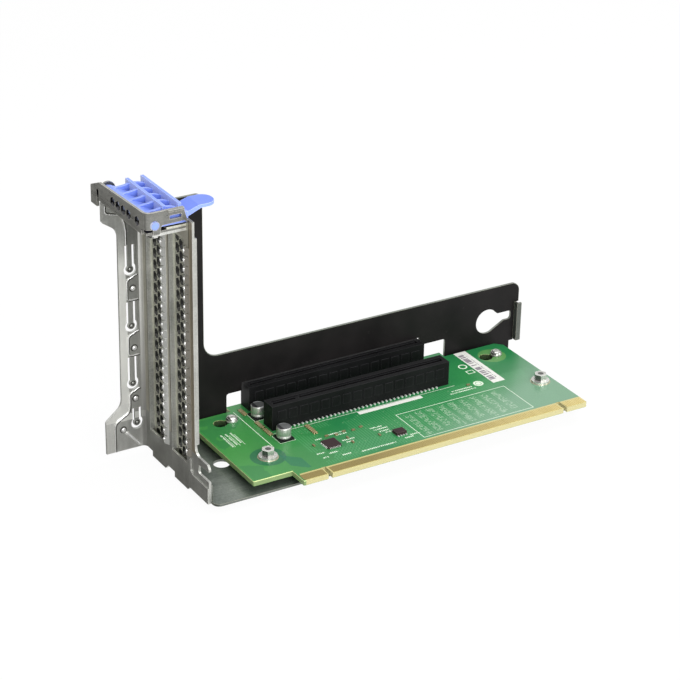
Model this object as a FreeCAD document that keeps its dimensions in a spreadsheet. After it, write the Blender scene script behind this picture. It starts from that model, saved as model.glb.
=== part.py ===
import FreeCAD, Part
import math
import os
import Sketcher

# PCIe riser card: a folded steel cage with a riser board, two x16 slots, two perforated
# slot covers and a blue retention latch that swings up about a pin along Y.
# Drawing datum: X = 0 on the outer face of the end frame, Y = 0 on the inner face of the
# insulating film, Z = 0 under the base.  The model origin is the middle of the base underside.

os.makedirs("parts", exist_ok=True)
doc = FreeCAD.newDocument("pcie_riser")
dims = doc.addObject("Spreadsheet::Sheet", "Dims")
ORIGIN = FreeCAD.Vector(0, 0, 0)
UP = FreeCAD.Vector(0, 0, 1)
PLANES = {"XY": "XY_Plane", "XZ": "XZ_Plane", "YZ": "YZ_Plane"}
named = []
parts = []
cuts = []


class Size:
    """A named size, or a sum or share of named sizes, that knows its formula and its value."""

    def __init__(self, text, value):
        self.text = text
        self.value = value

    def __add__(self, other):
        b = sized(other)
        return Size("(%s + %s)" % (self.text, b.text), self.value + b.value)

    def __sub__(self, other):
        b = sized(other)
        return Size("(%s - %s)" % (self.text, b.text), self.value - b.value)

    def __mul__(self, other):
        b = sized(other)
        return Size("(%s * %s)" % (self.text, b.text), self.value * b.value)

    def __truediv__(self, other):
        b = sized(other)
        return Size("(%s / %s)" % (self.text, b.text), self.value / b.value)

    def __neg__(self):
        return Size("(0 - %s)" % self.text, -self.value)

    def __radd__(self, other):
        return sized(other) + self

    def __rsub__(self, other):
        return sized(other) - self

    def __rmul__(self, other):
        return sized(other) * self


def sized(x):
    if isinstance(x, Size):
        return x
    return Size("%r" % float(x), float(x))


def size(alias, number):
    """Write one driving dimension into the sheet and hand it back."""
    named.append(alias)
    row = len(named)
    dims.set("A%d" % row, alias)
    dims.set("B%d" % row, repr(number))
    dims.setAlias("B%d" % row, alias)
    return Size("Dims." + alias, float(number))


def bind(obj, prop, x):
    x = sized(x)
    obj.setExpression(prop, x.text)


# sheet metal and general fits
sheet = size("sheet", 1.0)
film_t = size("film_t", 0.25)
run_gap = size("run_gap", 0.05)
seat_gap = size("seat_gap", 0.1)

# slots: two full-height expansion slots side by side
slot_pitch = size("slot_pitch", 20.32)
card_len = size("connector_len", 89.0)
conn_w = size("connector_width", 7.5)
conn_high = size("connector_height", 11.25)
conn_x = size("connector_left", 46.8)
conn_y = size("rear_connector_front", 5.12)

# base plate
base_len = size("base_len", 182.0)
base_deep = size("base_depth", 61.0)
base_r = size("base_corner", 3.0)
hole_x = size("base_hole_x", 19.3)
hole_y = size("base_hole_y", 31.3)
hole_r = size("base_hole_r", 3.5)

# back wall
wall_end = size("wall_end", 190.2)
wall_foot = size("wall_foot_end", 185.9)
low_top = size("wall_low_top", 33.9)
high_top = size("wall_high_top", 109.5)
tall_end = size("tall_end", 28.0)
crook_r = size("inner_corner_r", 7.0)
low_r = size("low_corner_r", 4.0)
tall_r = size("tall_corner_r", 3.0)
win_left = size("window_left", 38.6)
win_right = size("window_right", 150.4)
win_low = size("window_low", 3.0)
win_high = size("window_high", 14.3)
win_r = size("window_corner", 1.2)
key_x = size("keyhole_x", 173.0)
key_z = size("keyhole_z", 17.7)
key_r = size("keyhole_r", 5.9)
key_down = size("keyhole_slot_low", 1.5)
key_up = size("keyhole_slot_high", 2.8)
key_end = size("keyhole_slot_end", 186.1)
tab_low = size("side_tab_low", 5.5)
tab_high = size("side_tab_high", 24.2)
tab_in = size("side_tab_offset", 2.4)
tab_x = size("side_tab_x", 188.0)
tab_out = size("side_tab_reach", 190.4)
trim = size("film_inset", 0.25)

# end frame and wing
apron_deep = size("apron_depth", 57.0)
apron_high = size("apron_height", 17.3)
guard_y = size("foot_guard_y", 6.0)
guard_w = size("foot_guard_width", 14.4)
guard_drop = size("foot_guard_drop", 2.4)
guard_lean = size("foot_guard_lean", 2.5)
notch_in = size("apron_notch_depth", 9.3)
notch_low = size("apron_notch_low", 10.0)
notch_high = size("apron_notch_high", 14.0)
post_front = size("upright_front", 45.0)
post_top = size("upright_top", 119.0)
shelf_z = size("shelf_underside", 114.0)
shelf_out = size("shelf_reach", 14.5)
slot_y = size("slot_window_y", 4.1)
slot_w = size("slot_window_width", 13.2)
slot_low = size("slot_window_low", 9.5)
slot_high = size("slot_window_high", 110.0)
jamb = size("jamb_depth", 1.2)
flange_x = size("front_flange_width", 2.0)
flange_top = size("front_flange_top", 112.0)
wing_out = size("wing_reach", 18.2)
wing_mid = size("wing_waist", 10.8)
head_out = size("wing_head_reach", 17.4)
wing_raise = size("wing_raise", 0.35)
raise_edge = size("wing_raise_edge", 7.1)
foot_high = size("wing_foot_height", 15.2)
head_low = size("wing_head_low", 105.6)
bend_r = size("bend_radius", 2.0)
finger_x = size("finger_x", 5.3)
finger_w = size("finger_width", 1.9)
foot_finger = size("foot_finger_x", 3.9)
finger_r = size("finger_head_r", 1.6)
groove = size("finger_groove", 1.25)
finger_tops = []
finger_ends = []
for n, top, end in ((1, 93.3, 82.6), (2, 68.0, 57.1), (3, 42.8, 30.6), (4, 18.9, 11.8)):
    finger_tops.append(size("finger_top_%s" % "abcd"[n - 1], top))
    finger_ends.append(size("finger_end_%s" % "abcd"[n - 1], end))
lip_high = size("apron_lip_height", 7.0)
lip_y = size("apron_lip_y", 42.0)
lip_t = size("apron_lip_thickness", 0.6)
dimple_r = size("dimple_r", 1.2)
dimple_t = size("dimple_height", 0.4)

# slot covers
cover_t = size("cover_thickness", 0.86)
cover_w = size("cover_width", 18.42)
cover_y = size("cover_edge_y", 1.2)
cover_low = size("cover_shoulder", 3.4)
cover_all = size("cover_height", 120.02)
foot_w = size("cover_foot_width", 12.0)
foot_off = size("cover_foot_offset", 1.5)
foot_taper = size("cover_foot_taper", 1.1)
foot_gap = size("foot_slot_gap", 0.35)
tab_len = size("cover_tab_length", 11.43)
vent_w = size("vent_width", 2.6)
vent_h = size("vent_height", 4.0)
vent_step = size("vent_pitch", 5.15)
vent_col = size("vent_column", 3.3)
vent_low = size("vent_low", 11.5)
vent_y = size("vent_middle_y", 10.8)
VENTS = 19

# latch housing
house_x = size("housing_reach", 18.0)
house_y = size("housing_front", 41.0)
house_top = size("housing_top", 123.1)
cheek_high = size("cheek_height", 9.6)
cheek_top = shelf_z + sheet + cheek_high
house_r = size("housing_bend", 3.0)
ear_r = size("ear_r", 3.6)
ear_high = size("ear_height", 3.1)
vent_hole = size("housing_vent_r", 2.15)
house_vent_step = size("housing_vent_pitch", 4.75)
cheek_mid = size("cheek_underside", 118.5)
hook_y = size("hook_back", 8.0)
hook_in = size("hook_near", 2.4)
hook_low = size("hook_low", 112.0)
slit = size("hook_slit", 1.9)
ear_left = size("ear_left", 2.4)
pin_x = size("latch_pin_x", 13.9)
pin_z = size("latch_pin_z", 119.05)
pin_r = size("latch_pin_r", 1.8)

# latch
side_gap = size("latch_side_gap", 0.7)
rear_gap = size("latch_rear_gap", 1.8)
barrel_r = size("latch_barrel_r", 2.4)
web_low = size("latch_web_low", 117.25)
web_t = size("latch_web_thickness", 1.6)
rib_t = size("latch_rib", 1.35)
rib_top = size("latch_rib_top", 123.0)
rib_mid = size("latch_mid_rib_x", 6.7)
rib_front = size("latch_ribs_front", 33.5)
cross_t = size("latch_cross_rib", 1.2)
cross_first = size("latch_cross_first", 3.3)
cross_step = size("latch_cross_pitch", 7.1)
lever_back = size("lever_back", 26.5)
lever_front = size("lever_front", 36.3)
lever_bend = size("lever_bend_x", 8.0)
lever_end = size("lever_end_x", 16.0)
lever_z = size("lever_top", 121.7)
lever_t = size("lever_thickness", 1.4)
CROSS = 5

# riser board
board_top = size("board_top", 6.34)
board_t = size("board_thickness", 2.36)
board_left = size("board_left", 19.2)
board_right = size("board_right", 179.6)
board_back = size("board_back", 1.4)
board_front = size("board_front", 59.2)
tongue_left = size("tongue_left", 37.4)
tongue_front = size("tongue_front", 68.7)
board_tail = size("board_tail", 3.0)
board_cham = size("board_corner", 3.1)
key_one = size("edge_key_a", 49.95)
key_two = size("edge_key_b", 168.05)
key_w = size("edge_key_width", 1.9)
key_deep = size("edge_key_depth", 6.2)
finger_pitch = size("contact_pitch", 1.0)
contact_w = size("contact_width", 0.7)
contact_l = size("contact_length", 4.2)
contact_t = size("contact_thickness", 0.08)
bevel = size("contact_setback", 0.5)

# fasteners
post_r = size("post_shoulder_r", 3.0)
neck_r = size("post_neck_r", 1.5)
head_r = size("post_head_r", 2.6)
head_high = size("post_head_height", 2.1)
post_ax = size("post_a_x", 36.2)
post_ay = size("post_a_y", 9.0)
post_bx = size("post_b_x", 170.9)
post_by = size("post_b_y", 11.2)
keyslot = size("board_keyslot", 5.6)
screw_ax = size("screw_a_x", 34.4)
screw_ay = size("screw_a_y", 44.0)
screw_bx = size("screw_b_x", 173.3)
screw_by = size("screw_b_y", 42.5)
screw_r = size("screw_shank_r", 1.45)
screw_flange = size("screw_flange_r", 4.0)
screw_flange_t = size("screw_flange_thickness", 0.9)
screw_head_r = size("screw_head_r", 2.85)
screw_head_t = size("screw_head_thickness", 2.9)
rivet_x = size("rivet_x", 12.9)
rivet_r = size("rivet_r", 1.4)
rivet_head = size("rivet_head_r", 2.3)
rivet_head_t = size("rivet_head_thickness", 0.7)
rivet_edge = size("rivet_end_y", 3.4)

# board components
lead_w = size("lead_width", 0.7)
lead_step = size("lead_pitch", 2.0)
lead_l = size("lead_length", 1.0)
lead_t = size("lead_height", 0.5)
block_w = size("connector_block", 3.9)
block_h = size("connector_block_height", 4.4)
block_t = size("connector_block_depth", 0.35)
block_step = size("connector_block_pitch", 5.3)
card_slot = size("card_slot_width", 1.9)
card_deep = size("card_slot_depth", 8.3)
card_end = size("card_slot_end", 1.85)
card_seg = size("card_first_segment", 11.65)
can_r = size("capacitor_r", 3.15)
can_h = size("capacitor_height", 5.0)
can_base = size("capacitor_base", 6.6)
can_base_t = size("capacitor_base_height", 0.8)
can_x = size("capacitor_x", 48.0)
can_ya = size("capacitor_a_y", 10.9)
can_yb = size("capacitor_b_y", 33.2)
LEADS = 39
BLOCKS = 16

org_x = sheet + base_len / 2
org_y = -(base_deep / 2)


# ---- helpers that draw ----
def place(obj, label, dy=0):
    """Name a finished sub-part and move it from the drawing datum to the model origin."""
    obj.Label = label
    bind(obj, "Placement.Base.x", 0 - org_x)
    bind(obj, "Placement.Base.y", sized(dy) - org_y)
    parts.append(obj)
    return obj


def new_body(name):
    return doc.addObject("PartDesign::Body", name)


def plane_of(body, key):
    for f in body.Origin.OriginFeatures:
        if f.Role == PLANES.get(key, key):
            return f


def new_sketch(body, name, key, level):
    s = body.newObject("Sketcher::SketchObject", name)
    s.AttachmentSupport = [(plane_of(body, key), "")]
    s.MapMode = "FlatFace"
    bind(s, "AttachmentOffset.Base.z", level)
    return s


def fix(s, kind, geo, pos, x):
    """Hold one coordinate of a sketch point at a size."""
    x = sized(x)
    i = s.addConstraint(Sketcher.Constraint(kind, -1, 1, geo, pos, x.value))
    s.setExpression("Constraints[%d]" % i, x.text)


def outline(s, pts):
    """Closed profile through corner points; a third entry rounds that corner."""
    n = len(pts)
    uv = [(sized(p[0]).value, sized(p[1]).value) for p in pts]
    rad = [sized(p[2]) if len(p) > 2 else None for p in pts]
    ends = []
    for i in range(n):
        ax, ay = uv[i - 1]
        px, py = uv[i]
        bx, by = uv[(i + 1) % n]
        la = math.hypot(px - ax, py - ay)
        lb = math.hypot(bx - px, by - py)
        d1 = ((px - ax) / la, (py - ay) / la)
        d2 = ((bx - px) / lb, (by - py) / lb)
        if rad[i] is None:
            ends.append(((px, py), (px, py), None, 0))
            continue
        cross = d1[0] * d2[1] - d1[1] * d2[0]
        turn = math.atan2(abs(cross), d1[0] * d2[0] + d1[1] * d2[1])
        cut = rad[i].value * math.tan(turn / 2)
        a = (px - d1[0] * cut, py - d1[1] * cut)
        b = (px + d2[0] * cut, py + d2[1] * cut)
        side = 1 if cross > 0 else -1
        mid = (a[0] - d1[1] * rad[i].value * side, a[1] + d1[0] * rad[i].value * side)
        ends.append((a, b, mid, side))
    lines = []
    for i in range(n):
        a = ends[i][1]
        b = ends[(i + 1) % n][0]
        seg = Part.LineSegment(FreeCAD.Vector(a[0], a[1], 0), FreeCAD.Vector(b[0], b[1], 0))
        lines.append(s.addGeometry(seg, False))
    for i in range(n):
        before = lines[i - 1]
        after = lines[i]
        a, b, mid, side = ends[i]
        if mid is None:
            s.addConstraint(Sketcher.Constraint("Coincident", before, 2, after, 1))
            fix(s, "DistanceX", after, 1, pts[i][0])
            fix(s, "DistanceY", after, 1, pts[i][1])
            continue
        r = rad[i].value
        first = a if side > 0 else b
        last = b if side > 0 else a
        a0 = math.atan2(first[1] - mid[1], first[0] - mid[0])
        a1 = math.atan2(last[1] - mid[1], last[0] - mid[0])
        ring = Part.Circle(FreeCAD.Vector(mid[0], mid[1], 0), UP, r)
        arc = s.addGeometry(Part.ArcOfCircle(ring, a0, a1), False)
        dot = s.addGeometry(Part.Point(FreeCAD.Vector(uv[i][0], uv[i][1], 0)), True)
        p_in = 1 if side > 0 else 2
        p_out = 2 if side > 0 else 1
        s.addConstraint(Sketcher.Constraint("Tangent", before, 2, arc, p_in))
        s.addConstraint(Sketcher.Constraint("Tangent", after, 1, arc, p_out))
        k = s.addConstraint(Sketcher.Constraint("Radius", arc, r))
        s.setExpression("Constraints[%d]" % k, rad[i].text)
        s.addConstraint(Sketcher.Constraint("PointOnObject", dot, 1, before))
        s.addConstraint(Sketcher.Constraint("PointOnObject", dot, 1, after))
        fix(s, "DistanceX", dot, 1, pts[i][0])
        fix(s, "DistanceY", dot, 1, pts[i][1])


def circle(s, u, v, r):
    u, v, r = sized(u), sized(v), sized(r)
    ring = Part.Circle(FreeCAD.Vector(u.value, v.value, 0), UP, r.value)
    g = s.addGeometry(ring, False)
    k = s.addConstraint(Sketcher.Constraint("Radius", g, r.value))
    s.setExpression("Constraints[%d]" % k, r.text)
    fix(s, "DistanceX", g, 3, u)
    fix(s, "DistanceY", g, 3, v)


def draw(s, shapes):
    for shape in shapes:
        if isinstance(shape, tuple):
            circle(s, *shape)
        else:
            outline(s, shape)


def rect(u0, v0, u1, v1):
    return [(u0, v0), (u1, v0), (u1, v1), (u0, v1)]


def many_sides(u, v, r, sides):
    """Corners of a regular outline round a point, for small pressed and pierced forms."""
    turns = [2 * math.pi * (k + 0.5) / sides for k in range(sides)]
    return [(u + r * math.cos(t), v + r * math.sin(t)) for t in turns]


def pad(body, name, key, low, high, *shapes):
    """Add material between two levels along the plane's axis."""
    level = -sized(high) if key == "XZ" else sized(low)
    s = new_sketch(body, name + "_sketch", key, level)
    draw(s, shapes)
    f = body.newObject("PartDesign::Pad", name)
    f.Profile = s
    bind(f, "Length", sized(high) - low)
    body.Tip = f
    return f


def pocket(body, name, key, low, high, *shapes):
    """Take material away between two levels along the plane's axis."""
    level = -sized(low) if key == "XZ" else sized(high)
    s = new_sketch(body, name + "_sketch", key, level)
    draw(s, shapes)
    f = body.newObject("PartDesign::Pocket", name)
    f.Profile = s
    bind(f, "Length", sized(high) - low)
    body.Tip = f
    cuts.append(f)
    return f


def repeat(body, name, feature, axis, step, count, back=False):
    """Copies of one feature along a body axis, a step apart."""
    f = body.newObject("PartDesign::LinearPattern", name)
    f.Originals = [feature]
    f.Direction = (plane_of(body, axis), [""])
    f.Mode = "Spacing"
    bind(f, "Offset", step)
    f.Occurrences = count
    f.Reversed = back
    body.Tip = f
    return f


def box(name, x, y, z, lx, ly, lz):
    b = doc.addObject("Part::Box", name)
    for prop, v in (("Length", lx), ("Width", ly), ("Height", lz)):
        bind(b, prop, v)
    for prop, v in (("x", x), ("y", y), ("z", z)):
        bind(b, "Placement.Base." + prop, v)
    return b


def peg(name, x, y, z, r, length, sides=12):
    """Upright round peg drawn with a few flat sides."""
    c = doc.addObject("Part::Prism", name)
    c.Polygon = sides
    bind(c, "Circumradius", r)
    bind(c, "Height", length)
    for prop, v in (("x", x), ("y", y), ("z", z)):
        bind(c, "Placement.Base." + prop, v)
    return c


def join(name, items):
    f = doc.addObject("Part::MultiFuse", name)
    f.Shapes = items
    return f


def take(name, base, tool):
    c = doc.addObject("Part::Cut", name)
    c.Base = base
    c.Tool = tool
    return c


def group(name, items):
    g = doc.addObject("Part::Compound", name)
    g.Links = items
    return g


# base tray: base plate and tall back wall folded from one sheet
wall_back = film_t + sheet
conn_right = conn_x + card_len
neck_low = conn_x - 0.8
neck_high = conn_right + 0.8
neck_top = board_top + conn_high + 0.6


def wall_outline(left, low, grow):
    """L-shaped outline of the back wall in X and Z, drawn in by grow at the free edges."""
    return [
        (left, low),
        (wall_foot - grow, low),
        (wall_foot - grow, tab_low - grow),
        (wall_end - grow, tab_low - grow),
        (wall_end - grow, low_top - grow, low_r),
        (tall_end - grow, low_top - grow, crook_r),
        (tall_end - grow, high_top - grow, tall_r),
        (left, high_top - grow),
    ]


def wall_window(grow):
    """Window for the board's rear edge, with a taller middle for the rear connector."""
    return [
        (win_left - grow, win_low - grow),
        (win_right + grow, win_low - grow),
        (win_right + grow, win_high + grow, win_r),
        (neck_high + grow, win_high + grow),
        (neck_high + grow, neck_top + grow),
        (neck_low - grow, neck_top + grow),
        (neck_low - grow, win_high + grow),
        (win_left - grow, win_high + grow, win_r),
    ]


def keyhole_slot(grow):
    """Funnel and slot of the mounting keyhole."""
    return [
        (key_x + 2.3, key_z - key_r * 0.915 - grow),
        (key_x + key_r + 3.5, key_z - key_down - grow),
        (key_end + grow, key_z - key_down - grow, 1.5),
        (key_end + grow, key_z + key_up + grow, 1.5),
        (key_x + key_r - 0.2, key_z + key_up + grow),
        (key_x + key_r * 0.66, key_z + key_r * 0.71 + grow),
        (key_x, key_z),
    ]


tray = new_body("base_tray")
front = -base_deep
base_end = sheet + base_len
pad(
    tray, "base", "XY", 0, sheet,
    [(sheet, wall_back), (sheet, front, base_r), (base_end, front, base_r), (base_end, wall_back)],
)
pad(tray, "wall", "XZ", film_t, wall_back, wall_outline(sheet, sized(0), sized(0)))
tab_y = film_t - tab_in
pocket(tray, "tab_relief", "XZ", film_t, wall_back, rect(tab_x + sheet, tab_low, wall_end + 1, tab_high))
pad(tray, "tab_jog", "XY", tab_low, tab_high, rect(tab_x, tab_y, tab_x + sheet, film_t))
pad(tray, "tab_face", "XY", tab_low, tab_high, rect(tab_x, tab_y, tab_out, tab_y + sheet))
pocket(tray, "window", "XZ", film_t, wall_back, wall_window(sized(0)))
pocket(tray, "keyhole", "XZ", film_t, wall_back, (key_x, key_z, key_r))
pocket(tray, "keyslot", "XZ", film_t, wall_back, keyhole_slot(sized(0)))
cover_x = sheet + jamb
end_flange_y = -post_front + sheet
end_flange_z = apron_high * 0.45
foot_left = cover_x - foot_gap
foot_right = cover_x + cover_t + foot_gap
foot_mid = cover_y + cover_w / 2 + foot_off
foot_half = foot_w / 2 + foot_gap
pocket(
    tray, "base_holes", "XY", 0, sheet,
    (hole_x, -hole_y, hole_r),
    rect(foot_left, -foot_mid - foot_half, foot_right, -foot_mid + foot_half),
    rect(foot_left, -foot_mid - slot_pitch - foot_half, foot_right, -foot_mid - slot_pitch + foot_half),
)
pad(
    tray, "end_flange", "YZ", sheet, sheet * 2,
    [
        (-apron_deep + 0.6, 0),
        (end_flange_y, 0),
        (end_flange_y, end_flange_z + 3.4),
        (end_flange_y - 0.9, end_flange_z + 3.4),
        (end_flange_y - 1.3, end_flange_z),
        (-apron_deep + 0.6, end_flange_z),
    ],
)
place(tray, "base_tray")

# insulating film bonded to the inside of the back wall
film = new_body("wall_film")
pad(film, "film", "XZ", 0, film_t, wall_outline(sheet * 2, sheet + seat_gap * 2, trim))
pocket(film, "film_tab", "XZ", 0, film_t, rect(tab_x - trim, tab_low - trim, wall_end + 1, tab_high + trim))
pocket(film, "film_window", "XZ", 0, film_t, wall_window(trim / 3))
pocket(film, "film_keyhole", "XZ", 0, film_t, (key_x, key_z, key_r + trim / 3))
pocket(film, "film_keyslot", "XZ", 0, film_t, keyhole_slot(trim / 3))
place(film, "wall_film")

# end frame: slot windows, upright, shelf and side wing folded from one sheet
frame = new_body("end_frame")
shelf_top = shelf_z + sheet
pad(
    frame, "angle", "XY", 0, shelf_z,
    [
        (-wing_out, film_t),
        (0, film_t, bend_r),
        (0, -apron_deep),
        (sheet, -apron_deep),
        (sheet, wall_back, bend_r + sheet),
        (-wing_out, wall_back),
    ],
)
pad(frame, "shelf", "XY", shelf_z, shelf_top, rect(-shelf_out, -house_y + sheet, sheet, wall_back))
pad(frame, "upright", "YZ", 0, sheet, rect(-post_front, shelf_z, -house_y + sheet, post_top))
pocket(
    frame, "upright_cut", "YZ", 0, sheet,
    [
        (-apron_deep - 1, apron_high - 1.5),
        (-apron_deep, apron_high - 1.5),
        (-apron_deep + 1.5, apron_high),
        (-post_front, apron_high, 3.4),
        (-post_front, shelf_z + 1),
        (-apron_deep - 1, shelf_z + 1),
    ],
)
guards = []
for k in range(2):
    g0 = -guard_y - slot_pitch * k
    g1 = g0 - guard_w
    guards.append([(g0, 0.5), (g0, -guard_drop), (g1 + guard_lean, -guard_drop), (g1, 0), (g1, 0.5)])
pad(frame, "foot_guards", "YZ", 0, sheet, *guards)
pocket(
    frame, "apron_notch", "YZ", 0, sheet,
    [
        (-apron_deep - 1, notch_low),
        (-apron_deep + notch_in, notch_low, 0.8),
        (-apron_deep + notch_in - 0.6, notch_high, 0.8),
        (-apron_deep - 1, notch_high + 0.8),
    ],
)
pad(frame, "flange", "XZ", -post_front, -post_front + sheet, rect(0, apron_high + 4, flange_x, flange_top))
pocket(
    frame, "wing_waist", "XZ", film_t, wall_back,
    [
        (-wing_out - 1, foot_high - 1.2),
        (-wing_out + 0.6, foot_high + 0.5, 1.5),
        (-wing_mid, foot_high + 6.2, 6.0),
        (-wing_mid + 0.3, head_low - 4.8, 6.0),
        (-head_out, head_low - 0.2, 2.0),
        (-head_out, shelf_z + 1),
        (-wing_out - 1, shelf_z + 1),
    ],
)
raised = []
raise_in = -bend_r - 0.4
foot_in = -wing_out + 3.9
for a, b in ((0, 1), (1, 2), (2, 3)):
    z_top = finger_ends[a] - finger_r - groove
    upper = [
        (raise_in, z_top + 0.4),
        (-finger_x + 0.6, z_top - 0.6),
        (-raise_edge, z_top - 1.3),
    ]
    lower = [(-raise_edge, finger_tops[b] + 0.9), (raise_in, finger_tops[b] + 0.9)]
    if b == 3:
        lower = [
            (-raise_edge, finger_tops[b] + 2.0),
            (-raise_edge - 1.0, foot_high + 2.0),
            (foot_in, foot_high - 1.2, 3.0),
            (foot_in, 0.3),
            (raise_in, 0.3),
        ]
    raised.append(upper + lower)
raised.append(
    [
        (-wing_out + 2.2, shelf_z - 0.4),
        (-wing_out + 2.2, head_low + 3.2, 2.0),
        (-wing_mid + 1.6, head_low + 1.6),
        (-raise_edge, head_low - 6.0),
        (-raise_edge + 1.2, head_low - 6.0),
        (-raise_edge + 1.2, shelf_z - 0.4),
    ]
)
raise_y = film_t - wing_raise
pad(frame, "raised_panels", "XZ", raise_y, film_t, *raised)
finger_box = []
finger_ring = []
finger_bar = []
finger_head = []
finger_xs = (finger_x, finger_x, finger_x, foot_finger)
for top, end, fx in zip(finger_tops, finger_ends, finger_xs):
    half = finger_w / 2 + groove
    finger_box.append(rect(-fx - half, end, -fx + half, top))
    finger_ring.append(many_sides(-fx, end, finger_r + groove, 20))
    finger_bar.append(rect(-fx - finger_w / 2, end, -fx + finger_w / 2, top))
    finger_head.append(many_sides(-fx, end, finger_r, 14))
pocket(frame, "finger_grooves", "XZ", raise_y, wall_back, *finger_box)
pocket(frame, "finger_rings", "XZ", raise_y, wall_back, *finger_ring)
pad(frame, "finger_bars", "XZ", film_t, wall_back, *finger_bar)
pad(frame, "finger_heads", "XZ", film_t, wall_back, *finger_head)
dimple_y = raise_y - dimple_t
dimples = []
for a, b, down in ((0, 1, 1.2), (1, 2, 3.0), (2, 3, 1.2)):
    dimples.append(many_sides(-finger_x + 0.8, (finger_ends[a] + finger_tops[b]) / 2 - down, dimple_r, 8))
dimples.append(many_sides(-finger_x - 5.2, finger_ends[3] - 1.8, dimple_r, 8))
pad(frame, "dimples", "XZ", dimple_y, raise_y, *dimples)
pad(
    frame, "wing_ridge", "XZ", dimple_y, raise_y,
    [(-9.4, 7.6), (-8.2, 8.6), (-3.2, 2.9), (-4.4, 1.9)],
)
pad(
    frame, "apron_lip", "YZ", -lip_t, 0,
    [
        (-apron_deep, 0),
        (-lip_y + 1.2, 0),
        (-lip_y + 1.2, lip_high * 1.9),
        (-lip_y, lip_high * 1.9),
        (-lip_y, lip_high + 1.6, 1.2),
        (-lip_y - 1.8, lip_high, 1.2),
        (-apron_deep, lip_high),
    ],
)
slot_near = -slot_y - slot_w
jamb_a = []
window_a = []
for k in range(2):
    y0 = slot_near - slot_pitch * k
    y1 = y0 + slot_w
    window_a.append(rect(y0, slot_low, y1, slot_high))
    jamb_a.append(rect(y0 - sheet, slot_low, y0, slot_high))
    jamb_a.append(rect(y1, slot_low, y1 + sheet, slot_high))
pocket(frame, "slot_windows", "YZ", 0, sheet, *window_a)
pad(frame, "jambs", "YZ", sheet, sheet + jamb, *jamb_a)
rivet_ys = (-rivet_edge, -cover_y - (cover_w + slot_pitch) / 2, -house_y + rivet_edge)
rivet_holes = [many_sides(-rivet_x, y, (rivet_r + run_gap) * 1.04, 12) for y in rivet_ys]
pocket(frame, "shelf_rivet_holes", "XY", shelf_z, shelf_top, *rivet_holes)
place(frame, "end_frame")

# sprung contact strips that earth the card brackets, one beside each slot window
strips = []
strip_w = size("contact_strip_width", 4.4)
strip_h = size("contact_strip_height", 1.0)
strip_step = size("contact_strip_pitch", 4.05)
strip_gap = size("contact_strip_gap", 0.6)
STRIP = 24
for tag, y_in, first in (("rear", slot_near - 0.3, 0), ("front", slot_near - slot_pitch - 0.3, 1)):
    strip = new_body("strip_" + tag)
    z0 = slot_low + 1.0 + strip_step * first
    run = strip_step * (STRIP - first) - strip_gap
    pad(strip, "strip_root_" + tag, "XY", z0, z0 + run, rect(-0.2, y_in - strip_w, 0, y_in))
    spring = pad(
        strip, "spring_" + tag, "XY", z0, z0 + strip_step - strip_gap,
        [
            (0, y_in - strip_w),
            (0, y_in - 0.2),
            (-strip_h, y_in - strip_w * 0.36),
            (-strip_h, y_in - strip_w * 0.52),
        ],
    )
    repeat(strip, "springs_" + tag, spring, "Z_Axis", strip_step, STRIP - first)
    strips.append(strip)
place(group("contact_strips", strips), "contact_strips")

# latch housing: floor, end face with diamond vents, two cheeks and the rear hook
house = new_body("latch_housing")
floor_top = shelf_top + sheet
face_x = -house_x
face_in = face_x + sheet
ear_y = wall_back
ear_back = ear_y + sheet
cheek_y = -house_y + sheet
pad(house, "floor", "XY", shelf_top, floor_top, rect(face_in, cheek_y, 0, ear_y))
pocket(house, "floor_rivet_holes", "XY", shelf_top, floor_top, *rivet_holes)
shell_low = shelf_top + 0.1
corner = house_r - house_y + 0.4
cheek_left = face_x + house_r + 0.4
pad(
    house, "end_face", "YZ", face_x, face_in,
    [
        (corner, shell_low),
        (hook_in - slit, shell_low),
        (hook_in - slit, pin_z + 0.75),
        (hook_in, pin_z + 0.75),
        (hook_in, hook_low),
        (hook_y, hook_low),
        (hook_y, pin_z + 0.6, 0.8),
        (hook_in + 0.8, pin_z + 2.7),
        (0, house_top),
        (corner, cheek_top - 0.1),
    ],
)
pad(
    house, "bend", "XY", pin_z - 1.6, cheek_top - 0.1,
    [
        (face_x, corner),
        (face_x, -house_y, house_r),
        (cheek_left, -house_y),
        (cheek_left, cheek_y),
        (face_in, cheek_y, house_r - sheet),
        (face_in, corner),
    ],
)
pad(
    house, "front_cheek", "XZ", -house_y, cheek_y,
    [
        (cheek_left, shelf_top),
        (-pin_x + 2.3, shelf_top, 0.6),
        (-pin_x + 2.8, cheek_mid, 1.0),
        (-1.2, cheek_mid + 0.4),
        (0, cheek_mid - 0.4),
        (0, cheek_mid + 1.1),
        (-1.3, cheek_top - 0.6),
        (-1.3, cheek_top),
        (cheek_left, cheek_top - 0.1),
    ],
)
pad(house, "cheek_tip", "XZ", -house_y - 1.2, -house_y, rect(-8.4, cheek_top - 0.8, -1.6, cheek_top))
pad(
    house, "rear_cheek", "XZ", ear_y, ear_back,
    [
        (-pin_x - ear_left, shelf_top),
        (-pin_x + ear_r, shelf_top),
        (-pin_x + ear_r, pin_z + ear_high, 3.0),
        (-pin_x - ear_left, pin_z + ear_high, 2.6),
    ],
)
pad(house, "rear_foot", "XY", shelf_top, floor_top, rect(-pin_x - ear_left, ear_y - 0.5, -pin_x + ear_r, ear_back))
pocket(house, "front_bore", "XZ", -house_y - 0.5, cheek_y + 0.5, (-pin_x, pin_z, pin_r + run_gap))
pocket(house, "rear_bore", "XZ", ear_y, ear_back, (-pin_x, pin_z, pin_r + run_gap))
pocket(house, "cheek_window", "XZ", -house_y, cheek_y, rect(-7.4, cheek_top - 4.25, -2.3, cheek_top - 2.65))
vent_z = pin_z + 0.25
vent_ys = [-vent_hole * 5.7 - house_vent_step * k for k in range(4)]
vent_ys.append(-house_y + 7.1)
vents = []
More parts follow.
